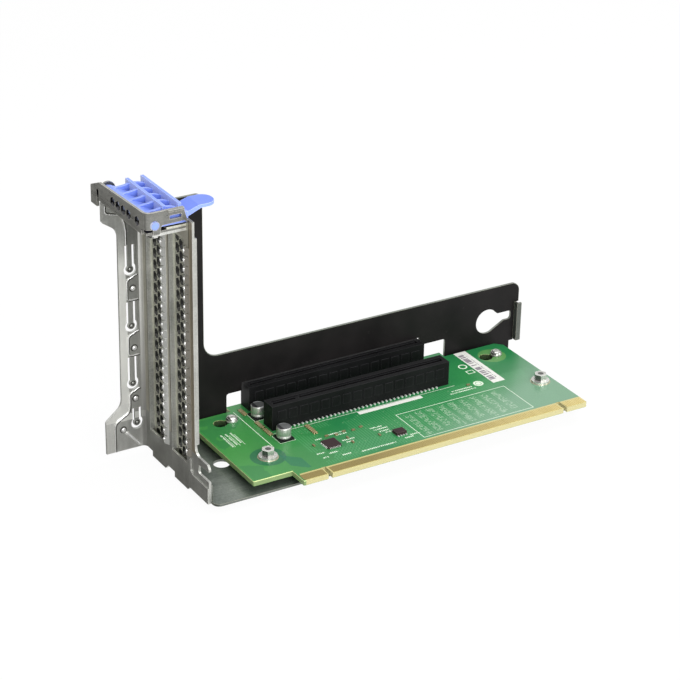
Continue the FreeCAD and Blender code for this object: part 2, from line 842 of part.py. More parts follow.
for vy in vent_ys:
    vents.append(
        [
            (vy, vent_z - vent_hole),
            (vy + vent_hole * 0.85, vent_z - vent_hole / 2),
            (vy + vent_hole * 0.85, vent_z + vent_hole / 2),
            (vy, vent_z + vent_hole),
            (vy - vent_hole * 0.85, vent_z + vent_hole / 2),
            (vy - vent_hole * 0.85, vent_z - vent_hole / 2),
        ]
    )
pocket(house, "face_vents", "YZ", face_x, face_in, *vents)
place(house, "latch_housing")

# retention latch: ribbed moulding with its two pins, swings about the pin axis
latch = new_body("retention_latch")
l_front = cheek_y + side_gap
l_back = ear_y - rear_gap
rib_right = rib_t
web_top = web_low + web_t
pad(latch, "barrel", "XZ", l_front, l_back, (-pin_x, pin_z, barrel_r))
pad(latch, "pins", "XZ", -house_y - 0.6, ear_back + 0.4, (-pin_x, pin_z, pin_r))
pad(
    latch, "web", "XZ", l_front, l_back,
    [
        (-pin_x, web_low),
        (rib_right, web_low),
        (rib_right, web_top),
        (-rib_mid + rib_t, web_top + 0.9),
        (-rib_mid, web_top - 0.2),
        (-pin_x + 2.6, pin_z + 1.5, 3.0),
        (-pin_x, pin_z + barrel_r - 0.15),
    ],
)
pad(latch, "long_ribs", "XZ", -rib_front, l_back, rect(-rib_mid, web_low, -rib_mid + rib_t, rib_top),
    rect(0, web_low, rib_t, rib_top))
cross = pad(
    latch, "cross_rib", "XZ", -cross_first - cross_t, -cross_first,
    [
        (-pin_x, pin_z),
        (-pin_x, pin_z + barrel_r - 0.1),
        (-rib_mid - 2.2, pin_z + 2.7, 6.0),
        (-rib_mid + 0.1, pin_z + 3.1),
        (-rib_mid + 0.1, pin_z),
    ],
    [
        (-rib_mid + rib_t - 0.1, pin_z),
        (-rib_mid + rib_t - 0.1, pin_z + 3.3),
        (-2.6, pin_z + 2.9, 5.0),
        (0.1, pin_z + 2.0),
        (0.1, pin_z),
    ],
)
repeat(latch, "cross_ribs", cross, "Y_Axis", cross_step, CROSS, True)
pad(latch, "front_wall", "XZ", l_front, l_front + cross_t, rect(-11.0, web_low, rib_t, pin_z + 2.4))
pad(
    latch, "lever_rise", "XZ", -lever_front, -lever_back,
    [
        (0.4, web_low + 0.3),
        (2.0, web_low + 0.3),
        (lever_bend + 0.6, lever_z - lever_t),
        (lever_bend + 2.5, lever_z - lever_t),
        (lever_bend + 2.5, lever_z),
        (lever_bend - 0.2, lever_z),
        (0.4, web_low + 1.9),
    ],
)
lever_r = (lever_front - lever_back) * 0.45
pad(
    latch, "lever_tab", "XY", lever_z - lever_t, lever_z,
    [
        (lever_bend + 2, -lever_front),
        (lever_end, -lever_front, lever_r),
        (lever_end, -lever_back, lever_r),
        (lever_bend + 2, -lever_back),
    ],
)
pad_low = floor_top + cover_t + seat_gap
press = []
for k in range(2):
    py = -foot_mid - slot_pitch * k
    press.append(rect(-7.6, py - 3.5, -0.6, py + 3.5))
pad(latch, "press_pads", "XY", pad_low, web_low, *press)
place(latch, "retention_latch")


# slot covers: perforated strips with a bent top tab and a narrow foot
def slot_cover(name, dy):
    c = new_body(name)
    near = -cover_y - cover_w
    tip = floor_top + cover_t - cover_all
    half = foot_w / 2
    pad(
        c, name + "_plate", "YZ", cover_x, cover_x + cover_t,
        [
            (near, cover_low),
            (-foot_mid - half, cover_low),
            (-foot_mid - half, sheet),
            (-foot_mid - half + foot_taper, tip, 0.5),
            (-foot_mid + half - foot_taper, tip, 0.5),
            (-foot_mid + half, sheet),
            (-foot_mid + half, cover_low),
            (-cover_y, cover_low),
            (-cover_y, floor_top + cover_t),
            (near, floor_top + cover_t),
        ],
    )
    tab_tip = cover_x + cover_t - tab_len
    pad(
        c, name + "_tab", "XY", floor_top, floor_top + cover_t,
        [
            (tab_tip, near),
            (cover_x + cover_t, near),
            (cover_x + cover_t, -cover_y),
            (tab_tip, -cover_y),
        ],
    )
    pocket(c, name + "_notch", "XY", floor_top, floor_top + cover_t, (tab_tip + 1.2, -foot_mid + foot_off + 4.4, 2.2))
    for k in range(3):
        u = -vent_y + vent_col * (k - 1)
        v = vent_low + (vent_step / 2 if k != 1 else 0)
        hx = vent_w / 2
        hz = vent_h / 2
        hole = pocket(
            c, "%s_vent_%d" % (name, k), "YZ", cover_x, cover_x + cover_t,
            [
                (u, v - hz),
                (u + hx, v - hz / 2),
                (u + hx, v + hz / 2),
                (u, v + hz),
                (u - hx, v + hz / 2),
                (u - hx, v - hz / 2),
            ],
        )
        repeat(c, "%s_vents_%d" % (name, k), hole, "Z_Axis", vent_step, VENTS if k == 1 else VENTS - 1)
    return place(c, name, dy)


slot_cover("slot_cover_rear", 0)
slot_cover("slot_cover_front", -slot_pitch)

# riser board with its edge tongue, key notches, keyhole slots and screw holes
board = new_body("riser_board")
board_low = board_top - board_t
tail_in = sized(1.0)
hk = key_w / 2
pad(
    board, "laminate", "XY", board_low, board_top,
    [
        (board_left, -board_back, 0.6),
        (board_left, -board_front, 0.6),
        (tongue_left, -board_front),
        (tongue_left, -tongue_front, 0.5),
        (board_right, -tongue_front, 0.5),
        (board_right, -board_back - board_cham, 1.0),
        (board_right - board_cham, -board_back, 1.0),
        (win_right - tail_in, -board_back),
        (win_right - tail_in, board_tail),
        (win_left + tail_in, board_tail),
        (win_left + tail_in, -board_back),
    ],
)
pocket(
    board, "edge_keys", "XY", board_low, board_top,
    *[
        [
            (k - hk, -tongue_front - 1),
            (k + hk, -tongue_front - 1),
            (k + hk, -tongue_front + key_deep),
            (k - hk, -tongue_front + key_deep),
        ]
        for k in (key_one, key_two)
    ],
)
holes = []
for px, py in ((post_ax, post_ay), (post_bx, post_by)):
    holes.append((px - keyslot, -py, head_r + 0.45))
pocket(
    board, "board_holes", "XY", board_low, board_top, *holes,
    (screw_ax, -screw_ay, screw_r + 0.2), (screw_bx, -screw_by, screw_r + 0.2),
)
slots = []
for px, py in ((post_ax, post_ay), (post_bx, post_by)):
    w = neck_r + seat_gap
    slots.append([(px - keyslot, -py - w), (px + w, -py - w), (px + w, -py + w), (px - keyslot, -py + w)])
pocket(board, "board_keyslots", "XY", board_low, board_top, *slots)
place(board, "riser_board")

# gold edge contacts on both faces of the tongue, one plated band a span
spans = (
    ("a", tongue_left, key_one - hk, 11),
    ("b", key_one + hk, key_two - hk, 115),
    ("c", key_two + hk, board_right, 10),
)
bands = []
for tag, x0, x1, count in spans:
    run = finger_pitch * (count - 1) + contact_w
    start = (x0 + x1 - run) / 2
    band_y = -tongue_front + bevel
    bands.append(box("band_top_" + tag, start, band_y, board_top, run, contact_l, contact_t))
    bands.append(box("band_low_" + tag, start, band_y, board_low - contact_t, run, contact_l, contact_t))
place(group("edge_contacts", bands), "edge_contacts")


# connectors: long black slots with raised blocks on the long faces, and their solder leads
def connector(name, dy):
    c = new_body(name)
    y0 = -conn_y
    y1 = y0 + conn_w
    z1 = board_top + conn_high
    pad(c, name + "_body", "XY", board_top, z1, rect(conn_x, y0, conn_right, y1))
    mid = (y0 + y1) / 2
    half = card_slot / 2
    x0 = conn_x + card_end
    pocket(
        c, name + "_slot", "XY", z1 - card_deep, z1,
        rect(x0, mid - half, x0 + card_seg, mid + half),
        rect(x0 + card_seg + key_w - 0.2, mid - half, conn_right - card_end, mid + half),
    )
    pocket(c, name + "_lead_in", "XY", z1 - 0.7, z1, rect(x0, mid - half - 0.5, conn_right - card_end, mid + half + 0.5))
    gap = (card_len - block_step * (BLOCKS - 1) - block_w) / 2
    bz = z1 - 2.6 - block_h
    b = pad(
        c, name + "_block", "XZ", y0 - block_t, y0,
        rect(conn_x + gap, bz, conn_x + gap + block_w, bz + block_h),
    )
    repeat(c, name + "_blocks", b, "X_Axis", block_step, BLOCKS)
    return place(c, name, dy)


connector("connector_rear", 0)
connector("connector_front", -slot_pitch)
for row, dy in (("rear", sized(0)), ("front", -slot_pitch)):
    leads = []
    margin = (card_len - lead_step * (LEADS - 1) - lead_w) / 2
    for k in range(LEADS):
        lx = conn_x + margin + lead_step * k
        leads.append(box("lead_%s_%d" % (row, k), lx, -conn_y - lead_l, board_top, lead_w, lead_l, lead_t))
    place(group("connector_leads_" + row, leads), "connector_leads_" + row, dy)

# hexagon flange screws, their standoffs and the mushroom posts
screws = []
standoffs = []
for tag, sx, sy in (("a", screw_ax, screw_ay), ("b", screw_bx, screw_by)):
    shank = peg("shank_" + tag, sx, -sy, sheet + 0.4, screw_r, board_top - sheet - 0.4)
    flange = peg("flange_" + tag, sx, -sy, board_top, screw_flange, screw_flange_t, 24)
    hex_z = board_top + screw_flange_t
    hexa = peg("hexagon_" + tag, sx, -sy, hex_z, screw_head_r, screw_head_t, 6)
    screws.append(join("screw_" + tag, [shank, flange, hexa]))
    tube = peg("tube_" + tag, sx, -sy, sheet, post_r, board_low - sheet)
    bore = peg("bore_" + tag, sx, -sy, sheet, screw_r + run_gap, board_low - sheet)
    standoffs.append(take("standoff_" + tag, tube, bore))
place(group("board_screws", screws), "board_screws")
place(group("board_standoffs", standoffs), "board_standoffs")
posts = []
for tag, px, py in (("a", post_ax, post_ay), ("b", post_bx, post_by)):
    foot = peg("post_foot_" + tag, px, -py, sheet, post_r, board_low - sheet)
    neck = peg("post_neck_" + tag, px, -py, board_low, neck_r, board_t + seat_gap)
    rim_z = board_top + seat_gap
    rim = peg("post_rim_" + tag, px, -py, rim_z, head_r, head_high * 0.45, 16)
    cap = peg("post_cap_" + tag, px, -py, rim_z + head_high * 0.45, head_r * 0.85, head_high * 0.3, 16)
    tip = peg("post_tip_" + tag, px, -py, rim_z + head_high * 0.75, head_r * 0.55, head_high * 0.25, 16)
    posts.append(join("post_" + tag, [foot, neck, rim, cap, tip]))
place(group("board_posts", posts), "board_posts")
rivets = []
for k, ry in enumerate(rivet_ys):
    stem = peg("rivet_stem_%d" % k, -rivet_x, ry, shelf_z, rivet_r, sheet * 2)
    head = peg("rivet_head_%d" % k, -rivet_x, ry, shelf_z - rivet_head_t, rivet_head, rivet_head_t, 16)
    rivets.append(join("rivet_%d" % k, [stem, head]))
place(group("housing_rivets", rivets), "housing_rivets")

# capacitors
cans = []
bases = []
for tag, cy in (("a", can_ya), ("b", can_yb)):
    half = can_base / 2
    bases.append(box("can_base_" + tag, can_x - half, -cy - half, board_top, can_base, can_base, can_base_t))
    cans.append(peg("can_" + tag, can_x, -cy, board_top + can_base_t, can_r, can_h, 28))
place(group("capacitor_bases", bases), "capacitor_bases")
place(group("capacitor_cans", cans), "capacitor_cans")


# flat components on the board, each by its middle, length along X, depth along Y and height
def on_board(name, rows, tall):
    made = []
    for k, (cx, cy, lx, ly) in enumerate(rows):
        made.append(box("%s_%d" % (name, k), cx - lx / 2, -cy - ly / 2, board_top, lx, ly, tall))
    return place(group(name, made), name)


array_h = size("array_height", 0.5)
chip_h = size("chip_height", 1.0)
leg_h = size("leg_height", 0.25)
label_t = size("label_thickness", 0.1)
passive_h = size("passive_height", 0.55)
on_board("resistor_arrays", [(43.6, 4.9, 1.9, 5.6), (44.5, 18.4, 1.9, 6.2), (44.5, 25.6, 1.9, 6.2), (61.7, 32.4, 1.9, 8.4)], array_h)
chip_x = size("switch_chip_x", 62.6)
chip_y = size("switch_chip_y", 47.6)
chip_w = size("switch_chip_width", 6.4)
on_board("switch_chip", [(chip_x, chip_y, chip_w, chip_w)], chip_h)
rom_x = size("memory_chip_x", 93.0)
rom_y = size("memory_chip_y", 53.0)
rom_l = size("memory_chip_length", 4.9)
rom_w = size("memory_chip_width", 3.9)
on_board("memory_chip", [(rom_x, rom_y, rom_l, rom_w)], chip_h * 1.4)
legs = []
for k in range(4):
    for side in (-1, 1):
        legs.append((rom_x + 1.27 * (k - 1.5), rom_y + (rom_w / 2 + 0.5) * side, 0.45, 1.0))
on_board("memory_chip_legs", legs, leg_h)
on_board("board_label", [(157.2, 17.7, 6.3, 32.2)], label_t)
on_board("bar_label", [(103.0, 29.6, 32.2, 2.3)], label_t)
caps = []
for k in range(5):
    caps.append((64.5 + 4.2 * k, 40.6 + 0.9 * (k % 2), 1.6, 0.8))
caps.extend([(71.5, 46.2, 0.8, 1.6), (71.5, 50.4, 0.8, 1.6), (55.6, 45.2, 0.8, 1.6), (84.6, 50.6, 0.8, 1.6)])
caps.extend([(143.0, 30.4, 1.6, 0.8), (60.0, 12.2, 1.6, 0.8), (92.0, 12.2, 1.6, 0.8), (124.0, 12.2, 1.6, 0.8)])
on_board("small_passives", caps, passive_h)

doc.recompute()
bad = []
for obj in doc.Objects:
    if "Invalid" in obj.State or "Error" in obj.State:
        bad.append(obj.Name)
for obj in parts:
    if obj.Shape.isNull() or not obj.Shape.isValid():
        bad.append(obj.Label)
for cut in cuts:
    before = cut.BaseFeature.Shape.Volume if cut.BaseFeature else 0
    if before and cut.Shape.Volume > before - 1e-6:
        bad.append(cut.Name + " cuts nothing")
if bad:
    raise RuntimeError("not sound: " + ", ".join(bad))
for obj in parts:
    obj.Shape.exportStep("parts/" + obj.Label + ".step")
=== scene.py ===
# %% [markdown]
# # A riser cage for expansion cards
# The real object is a folded steel cage that stands in a server. It carries a green circuit
# board with two long black card slots, two perforated covers and a blue latch.
# The solids come from the CAD model, so this lesson is about dressing them: finishes made from
# shader maths, small repeated hardware made with Geometry Nodes, and a plain studio.

import math

import bmesh
import bpy
from mathutils import Matrix, Vector


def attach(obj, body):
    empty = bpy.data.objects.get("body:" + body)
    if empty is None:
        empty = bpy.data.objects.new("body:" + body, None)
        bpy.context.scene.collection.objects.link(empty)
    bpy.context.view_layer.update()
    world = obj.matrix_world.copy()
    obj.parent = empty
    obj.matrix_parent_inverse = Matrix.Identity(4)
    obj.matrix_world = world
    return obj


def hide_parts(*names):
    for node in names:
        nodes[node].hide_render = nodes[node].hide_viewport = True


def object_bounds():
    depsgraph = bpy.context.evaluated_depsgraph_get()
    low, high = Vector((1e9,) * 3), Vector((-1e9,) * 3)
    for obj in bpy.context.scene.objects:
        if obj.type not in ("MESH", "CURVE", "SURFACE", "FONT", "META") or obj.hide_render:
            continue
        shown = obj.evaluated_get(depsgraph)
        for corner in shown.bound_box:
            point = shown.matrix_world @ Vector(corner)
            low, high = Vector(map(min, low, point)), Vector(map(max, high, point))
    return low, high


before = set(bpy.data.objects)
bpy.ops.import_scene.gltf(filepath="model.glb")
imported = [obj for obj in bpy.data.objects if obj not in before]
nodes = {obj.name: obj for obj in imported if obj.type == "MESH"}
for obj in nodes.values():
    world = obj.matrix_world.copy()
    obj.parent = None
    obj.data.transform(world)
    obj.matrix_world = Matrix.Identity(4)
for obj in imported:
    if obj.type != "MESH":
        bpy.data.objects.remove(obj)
cad_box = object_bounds()

# %% [markdown]
# ## The places on the object
# The drawing measures in millimetres from the outer face of the end frame, with zero depth at
# the film on the back wall. The model's own zero is the middle of the base. One helper turns the
# first into the second, so every later cell can speak in the drawing's numbers.

# %% Drawing millimetres to scene metres
ORIGIN_X, ORIGIN_Y = 92.0, -30.5
BOARD_TOP, BOARD_THICK, SLOT_PITCH = 6.34, 2.3, 20.32
# heights of the apron's top edge, of the wing's foot, and above which the hood gives shade
APRON_TOP, FOOT_TOP, SHADE_LOW = 17.5, 14.0, 100.0
# the wing's raised panels and their spring fingers lie right of this line
PANEL_EDGE = -7.1
# places seen from above, as (x, y)
SCREWS = ((34.4, -44.0), (173.3, -42.5))
POSTS = ((36.2, -9.0), (170.9, -11.2))
POST_HOLES = ((34.0, -9.0), (168.7, -11.2))
CANS = ((48.0, -10.9), (48.0, -33.2))
SWITCH_CHIP = (62.6, -47.6)
# the latch turns about this line, as (x, z)
LATCH_PIN = (-13.9, 119.05)


def at(x, y, z):
    """A point of the drawing, in millimetres, as a point of the scene, in metres."""
    return Vector(((x - ORIGIN_X) / 1000, (y - ORIGIN_Y) / 1000, z / 1000))


print("board starts at", [round(v, 4) for v in at(19.2, -1.4, BOARD_TOP)])

# %% [markdown]
# ## The camera
# The photograph is taken from the front left and a little above, with a long lens, so parallel
# edges hardly close up. The lens angle and place were solved from card sizes that are standard,
# such as the slot pitch. A camera looks along its own -Z, so its axes are set as a matrix.

# %% Camera
PICTURE_WIDTH, FOCAL_PIXELS, SENSOR_WIDTH = 680, 2245.63, 36.0
lens = bpy.data.cameras.new("camera")
camera = bpy.data.objects.new("camera", lens)
bpy.context.scene.collection.objects.link(camera)
bpy.context.scene.camera = camera
forward = Vector((0.46542, 0.76760, -0.44064)).normalized()
right = Vector((0.85910, -0.51155, 0.01630))
right = (right - forward * right.dot(forward)).normalized()
up = right.cross(forward)
place = Matrix((right, up, -forward)).transposed().to_4x4()
place.translation = Vector((-0.45457, -0.72395, 0.46000))
camera.matrix_world = place
lens.sensor_fit = "HORIZONTAL"
lens.sensor_width = SENSOR_WIDTH
lens.lens = SENSOR_WIDTH * FOCAL_PIXELS / PICTURE_WIDTH
lens.clip_start, lens.clip_end = 0.05, 20.0
print("lens", round(lens.lens, 1), "mm")

# %% [markdown]
# ## The studio
# The photograph has a pure white ground with no visible shadow edge. A white that only the
# camera and reflections see keeps the object's own light level plain: Light Path tells such
# rays apart, and a Mix Shader gives each kind its own shader.

# %% Shaders that only some rays see
scene = bpy.context.scene
scene.view_settings.view_transform = "Standard"
LOWEST = cad_box[0][2]


def bare_material(name):
    """A node material with only its output left."""
    made = bpy.data.materials.new(name)
    made.use_nodes = True
    tree = made.node_tree
    for node in list(tree.nodes):
        tree.nodes.remove(node)
    return made, tree, tree.nodes.new("ShaderNodeOutputMaterial")


def seen_or_mirrored(tree):
    """One for a ray that the camera, a reflection or glass sends out, zero for plain light."""
    path = tree.nodes.new("ShaderNodeLightPath")
    total = path.outputs["Is Camera Ray"]
    for name in ("Is Glossy Ray", "Is Transmission Ray"):
        node = tree.nodes.new("ShaderNodeMath")
        node.operation = "MAXIMUM"
        tree.links.new(total, node.inputs[0])
        tree.links.new(path.outputs[name], node.inputs[1])
        total = node.outputs[0]
    return total


def shader_mix(tree, factor, first, second):
    """The first shader where the factor is 0 and the second where it is 1."""
    node = tree.nodes.new("ShaderNodeMixShader")
    if isinstance(factor, bpy.types.NodeSocket):
        tree.links.new(factor, node.inputs["Fac"])
    else:
        node.inputs["Fac"].default_value = factor
    tree.links.new(first.outputs[0], node.inputs[1])
    tree.links.new(second.outputs[0], node.inputs[2])
    return node


def sheet(name, corners, faces, material):
    """Flat faces between corners, as an object in the scene."""
    mesh = bpy.data.meshes.new(name)
    mesh.from_pydata(corners, [], faces)
    mesh.materials.append(material)
    made = bpy.data.objects.new(name, mesh)
    scene.collection.objects.link(made)
    return made


print("view transform:", scene.view_settings.view_transform)

# %% [markdown]
# ## Floor, sky, lamps and a card
# Large soft lamps stand in for a light tent. A dark card at the left, seen by reflections
# alone, keeps the faces that look left from washing out.

# %% Floor, world, lamps and card
def studio_floor():
    """A wide pale floor just under the lowest point, white where the camera sees it."""
    made, tree, out = bare_material("floor_white")
    paint = tree.nodes.new("ShaderNodeBsdfPrincipled")
    paint.inputs["Base Color"].default_value = (0.93, 0.93, 0.93, 1)
    paint.inputs["Roughness"].default_value = 0.9
    glow = tree.nodes.new("ShaderNodeEmission")
    glow.inputs["Strength"].default_value = 1.0
    white = shader_mix(tree, 0.95, paint, glow)
    both = shader_mix(tree, seen_or_mirrored(tree), paint, white)
    tree.links.new(both.outputs[0], out.inputs["Surface"])
    half, low = 4.0, LOWEST - 0.0004
    corners = [(-half, -half, low), (half, -half, low), (half, half, low), (-half, half, low)]
    floor = sheet("floor", corners, [(0, 1, 2, 3)], made)


def tent_world():
    """An even white sky, brighter to the camera than to the surfaces that it lights."""
    world = bpy.data.worlds.new("tent")
    scene.world = world
    world.use_nodes = True
    tree = world.node_tree
    for node in list(tree.nodes):
        tree.nodes.remove(node)
    out = tree.nodes.new("ShaderNodeOutputWorld")
    fill, white = [tree.nodes.new("ShaderNodeBackground") for _ in range(2)]
    for shade, strength in ((fill, 0.55), (white, 1.0)):
        shade.inputs["Color"].default_value = (1, 1, 1, 1)
        shade.inputs["Strength"].default_value = strength
    both = shader_mix(tree, seen_or_mirrored(tree), fill, white)
    tree.links.new(both.outputs[0], out.inputs["Surface"])


def soft_lamp(name, spot, aim, width, watts):
    """A square area lamp at a spot that looks at a point."""
    lamp = bpy.data.lights.new(name, "AREA")
    lamp.size = width
    lamp.energy = watts
    made = bpy.data.objects.new(name, lamp)
    scene.collection.objects.link(made)
    made.location = spot
    made.rotation_euler = (Vector(aim) - Vector(spot)).to_track_quat("-Z", "Y").to_euler()


def dark_card():
    """A dark card left of the object that only reflections see: one leaf lies, one stands."""
    made, tree, out = bare_material("card_grey")
    glow = tree.nodes.new("ShaderNodeEmission")
    glow.inputs["Color"].default_value = (1.0, 0.97, 0.9, 1)
    glow.inputs["Strength"].default_value = 0.16
    tree.links.new(glow.outputs[0], out.inputs["Surface"])
    left, right, front, back = -0.34, -0.0915, -0.10, 0.34
    low, top = LOWEST - 0.0002, 0.12
    corners = [(left, front, low), (right, front, low), (right, back, low), (left, back, low)]
    corners += [(left, front, top), (left, back, top)]
    card = sheet("dark_card", corners, [(0, 1, 2, 3), (4, 0, 3, 5)], made)
    for kind in ("camera", "diffuse", "transmission", "volume_scatter", "shadow"):
        setattr(card, "visible_" + kind, False)


studio_floor()
tent_world()
soft_lamp("key_lamp", (-0.22, -1.1, 0.55), (-0.02, 0.0, 0.05), 0.7, 13.0)
soft_lamp("top_lamp", (0.15, -0.05, 1.0), (0.0, 0.0, 0.03), 0.8, 6.0)
soft_lamp("right_lamp", (0.9, -0.7, 0.5), (0.0, 0.0, 0.05), 0.6, 3.0)
dark_card()

# %% [markdown]
# ## Shader maths as plain expressions
# A finish is arithmetic on patterns: where the mask is one, take the second colour. Linking Math
# nodes by hand hides that, so one small class wraps a socket and lets Python's own operators add
# the nodes.

# %% The Sum class
class Sum:
    """A number socket that can be added, multiplied and compared like a number."""

    def __init__(self, tree, socket):
        self.tree, self.socket = tree, socket

    def _with(self, operation, a, b):
        node = self.tree.nodes.new("ShaderNodeMath")
        node.operation = operation
        for slot, value in zip(node.inputs, (a, b)):
            if isinstance(value, Sum):
                self.tree.links.new(value.socket, slot)
            else:
                slot.default_value = value
        return Sum(self.tree, node.outputs[0])

    def __add__(self, other):
        return self._with("ADD", self, other)

    def __sub__(self, other):
        return self._with("SUBTRACT", self, other)

    def __rsub__(self, other):
        return self._with("SUBTRACT", other, self)

    def __mul__(self, other):
        return self._with("MULTIPLY", self, other)

    def __truediv__(self, other):
        return self._with("DIVIDE", self, other)

    def __gt__(self, other):
        return self._with("GREATER_THAN", self, other)

    def __lt__(self, other):
        return self._with("LESS_THAN", self, other)

    def __mod__(self, other):
        return self._with("FLOORED_MODULO", self, other)

    def size(self):
        return self._with("ABSOLUTE", self, 0.0)

    def most(self, other):
        return self._with("MAXIMUM", self, other)

    def step(self, low, high):
        """Rises from 0 at low to 1 at high, and stays within them."""
        node = self.tree.nodes.new("ShaderNodeMapRange")
        self.tree.links.new(self.socket, node.inputs[0])
        node.inputs[1].default_value, node.inputs[2].default_value = low, high
        return Sum(self.tree, node.outputs[0])

    def between(self, low, high):
        """One from low to high, else zero."""
        return (self > low) * (self < high)

    def near(self, place, reach):
        """One within a reach of a place, else zero."""
        return (self - place).size() < reach

    def spread(self, width):
        """Noise from 0 to 1 as a value round zero, this wide."""
        return (self - 0.5) * width


def joined(marks):
    """One where any of the marks is one."""
    total = marks[0]
    for mark in marks[1:]:
        total = total.most(mark)
    return total


print("Sum also has:", [name for name in vars(Sum) if not name.startswith("_")])

# %% [markdown]
# ## One class for a finish
# Every material starts from the same few things: where a point is in the drawing, which way
# the surface looks, cloudy noise, and how near an edge is. Colours go through Mix nodes,
# because a Math node would turn them grey. Screen colours are made linear first.

# %% The Finish class
class Finish:
    """One material: patterns in, Principled sockets out."""

    def __init__(self, name, **fixed):
        self.material, self.tree, out = bare_material(name)
        self.shader = self.add("ShaderNodeBsdfPrincipled")
        self.tree.links.new(self.shader.outputs[0], out.inputs["Surface"])
        coords = self.add("ShaderNodeTexCoord")
        self.place, self.facing = coords.outputs["Object"], coords.outputs["Normal"]
        axes = self.add("ShaderNodeSeparateXYZ", {}, {"Vector": self.place})
        x, y, z = [Sum(self.tree, axes.outputs[k]) * 1000 for k in range(3)]
        # the drawing's millimetres, as in the helper at()
        self.x, self.y, self.z = x + ORIGIN_X, y + ORIGIN_Y, z
        for socket, value in fixed.items():
            self.shader.inputs[socket.replace("_", " ")].default_value = value

    def add(self, kind, settings=None, sockets=None):
        """Any node: its settings first, then the values or links of its sockets."""
        node = self.tree.nodes.new(kind)
        for key, value in (settings or {}).items():
            setattr(node, key, value)
        for key, value in (sockets or {}).items():
            if isinstance(value, Sum):
                value = value.socket
            if isinstance(value, bpy.types.NodeSocket):
                self.tree.links.new(value, node.inputs[key])
            else:
                node.inputs[key].default_value = value
        return node

    def noise(self, scale, detail, rough=0.5, stretch=(1, 1, 1)):
        """Cloudy values from 0 to 1; scale counts clouds in a metre."""
        mapped = self.add("ShaderNodeMapping", {}, {"Vector": self.place, "Scale": stretch})
        sockets = {"Vector": mapped.outputs[0], "Scale": scale, "Detail": detail}
        node = self.add("ShaderNodeTexNoise", {}, {**sockets, "Roughness": rough})
        return Sum(self.tree, node.outputs[0])

    def faces(self):
        """How far the surface looks along X, Y and Z, each from -1 to 1."""
        axes = self.add("ShaderNodeSeparateXYZ", {}, {"Vector": self.facing})
        return [Sum(self.tree, axes.outputs[k]) for k in range(3)]

    def edge_wear_and_highlight(self, width):
        """One along sharp edges, within a width in metres, and zero on the flats: where edge wear
        and a painted edge highlight go.
        """
        soft = self.add("ShaderNodeBevel", {"samples": 6}, {"Radius": width})
        flat = self.add("ShaderNodeNewGeometry")
        pair = {0: soft.outputs[0], 1: flat.outputs["Normal"]}
        dot = self.add("ShaderNodeVectorMath", {"operation": "DOT_PRODUCT"}, pair)
        return (1 - Sum(self.tree, dot.outputs["Value"])).step(0.01, 0.2)

    def blend(self, factor, a, b):
        """Colour a where the factor is 0 and colour b where it is 1."""
        node = self.add("ShaderNodeMix", {"data_type": "RGBA", "clamp_factor": True})
        self.tree.links.new(factor.socket, node.inputs[0])
        for slot, value in ((node.inputs[6], a), (node.inputs[7], b)):
            if isinstance(value, bpy.types.NodeSocket):
                self.tree.links.new(value, slot)
            else:
                slot.default_value = (*value, 1)
        return node.outputs[2]

    def coats(self, colour, *layers):
        """Lay layers over a colour in turn: each is a factor and a screen colour."""
        for factor, rgb in layers:
            colour = self.blend(factor, colour, linear(*rgb))
        return colour

    def feed(self, socket, value):
        """Link a pattern to a socket of the shader."""
        source = value.socket if isinstance(value, Sum) else value
        self.tree.links.new(source, self.shader.inputs[socket])

    def done(self, colour, roughness, height, depth, strength):
        """Feed colour, roughness and a raised pattern, whose depth is in metres."""
        self.feed("Base Color", colour)
        self.feed("Roughness", roughness)
        raised = {"Height": height, "Distance": depth, "Strength": strength}
        self.feed("Normal", self.add("ShaderNodeBump", {}, raised).outputs[0])
        return self.material


def linear(*rgb):
    """Screen colour, 0 to 255, as the linear colour that a shader takes."""
    return tuple((v / 255 / 12.92) if v < 10 else ((v / 255 + 0.055) / 1.055) ** 2.4 for v in rgb)


def dress(material, *targets):
    """Give every face of these solids one finish."""
    for target in targets:
        mesh = nodes[target].data
        mesh.materials.clear()
        mesh.materials.append(material)


print("a mid grey is", [round(v, 3) for v in linear(128, 128, 128)])

# %% [markdown]
# ## Plated sheet steel
# Zinc plating is never one grey: it has soft clouds, fine rolling lines and small scuffs, and
# bent edges are painted brighter, partly wear and partly a painted highlight. The clouds and
# lines change roughness as much as colour, because that is what the eye reads as metal.

# %% One recipe for sheet steel
# rolling lines are noise drawn out along one axis
STRETCH = {"x": (0.06, 1, 1), "y": (1, 0.06, 1), "z": (1, 1, 0.06)}


def plated(name, dark, light, line_axis, roughness, edge=None, touch=None, last=None):
    """Sheet steel between two screen greys, edges painted bright for wear and a painted highlight;
    touch and last add tones under and over these edges.
    """
    made = Finish(name, Metallic=0.72, Specular_IOR_Level=0.5)
    clouds = made.noise(60, 5, 0.6)
    lines = made.noise(700, 3, 0.6, STRETCH[line_axis])
    grain = made.noise(1500, 3, 0.7)
    tone = clouds.spread(1.7) + lines.spread(0.7) + grain.spread(1.1) + 0.5
    colour = made.blend(tone, linear(*dark), linear(*light))
    if touch:
        colour = touch(made, colour)
    if edge:
        # sharp edges painted brighter: wear and a painted highlight
        colour = made.coats(colour, (made.edge_wear_and_highlight(0.0003) * 0.85, edge))
    if last:
        colour = last(made, colour)
    rough = clouds.spread(0.22) + lines.spread(0.22) + roughness
    return made.done(colour, rough, lines * 0.6 + grain * 0.4, 0.00003, 0.5)


print("rolling lines run along", sorted(STRETCH))

# %% [markdown]
# ## Tones of the frame and of the covers
# Each part adds tones of its own: a function takes the steel's colour and lays a few coats over
# it, chosen by place and by the way a face looks; many are painted light and shade. The covers'
# vents repeat at an even pitch, so a remainder folds them all onto one hexagon.

# %% Tones of the frame and of the covers
WARM_WHITE, HOOD_SHADE, VENT_SHADE = (255, 255, 250), (60, 60, 58), (6, 6, 6)
# a face looks along an axis where its share of that axis is past this
TOWARDS = 0.5
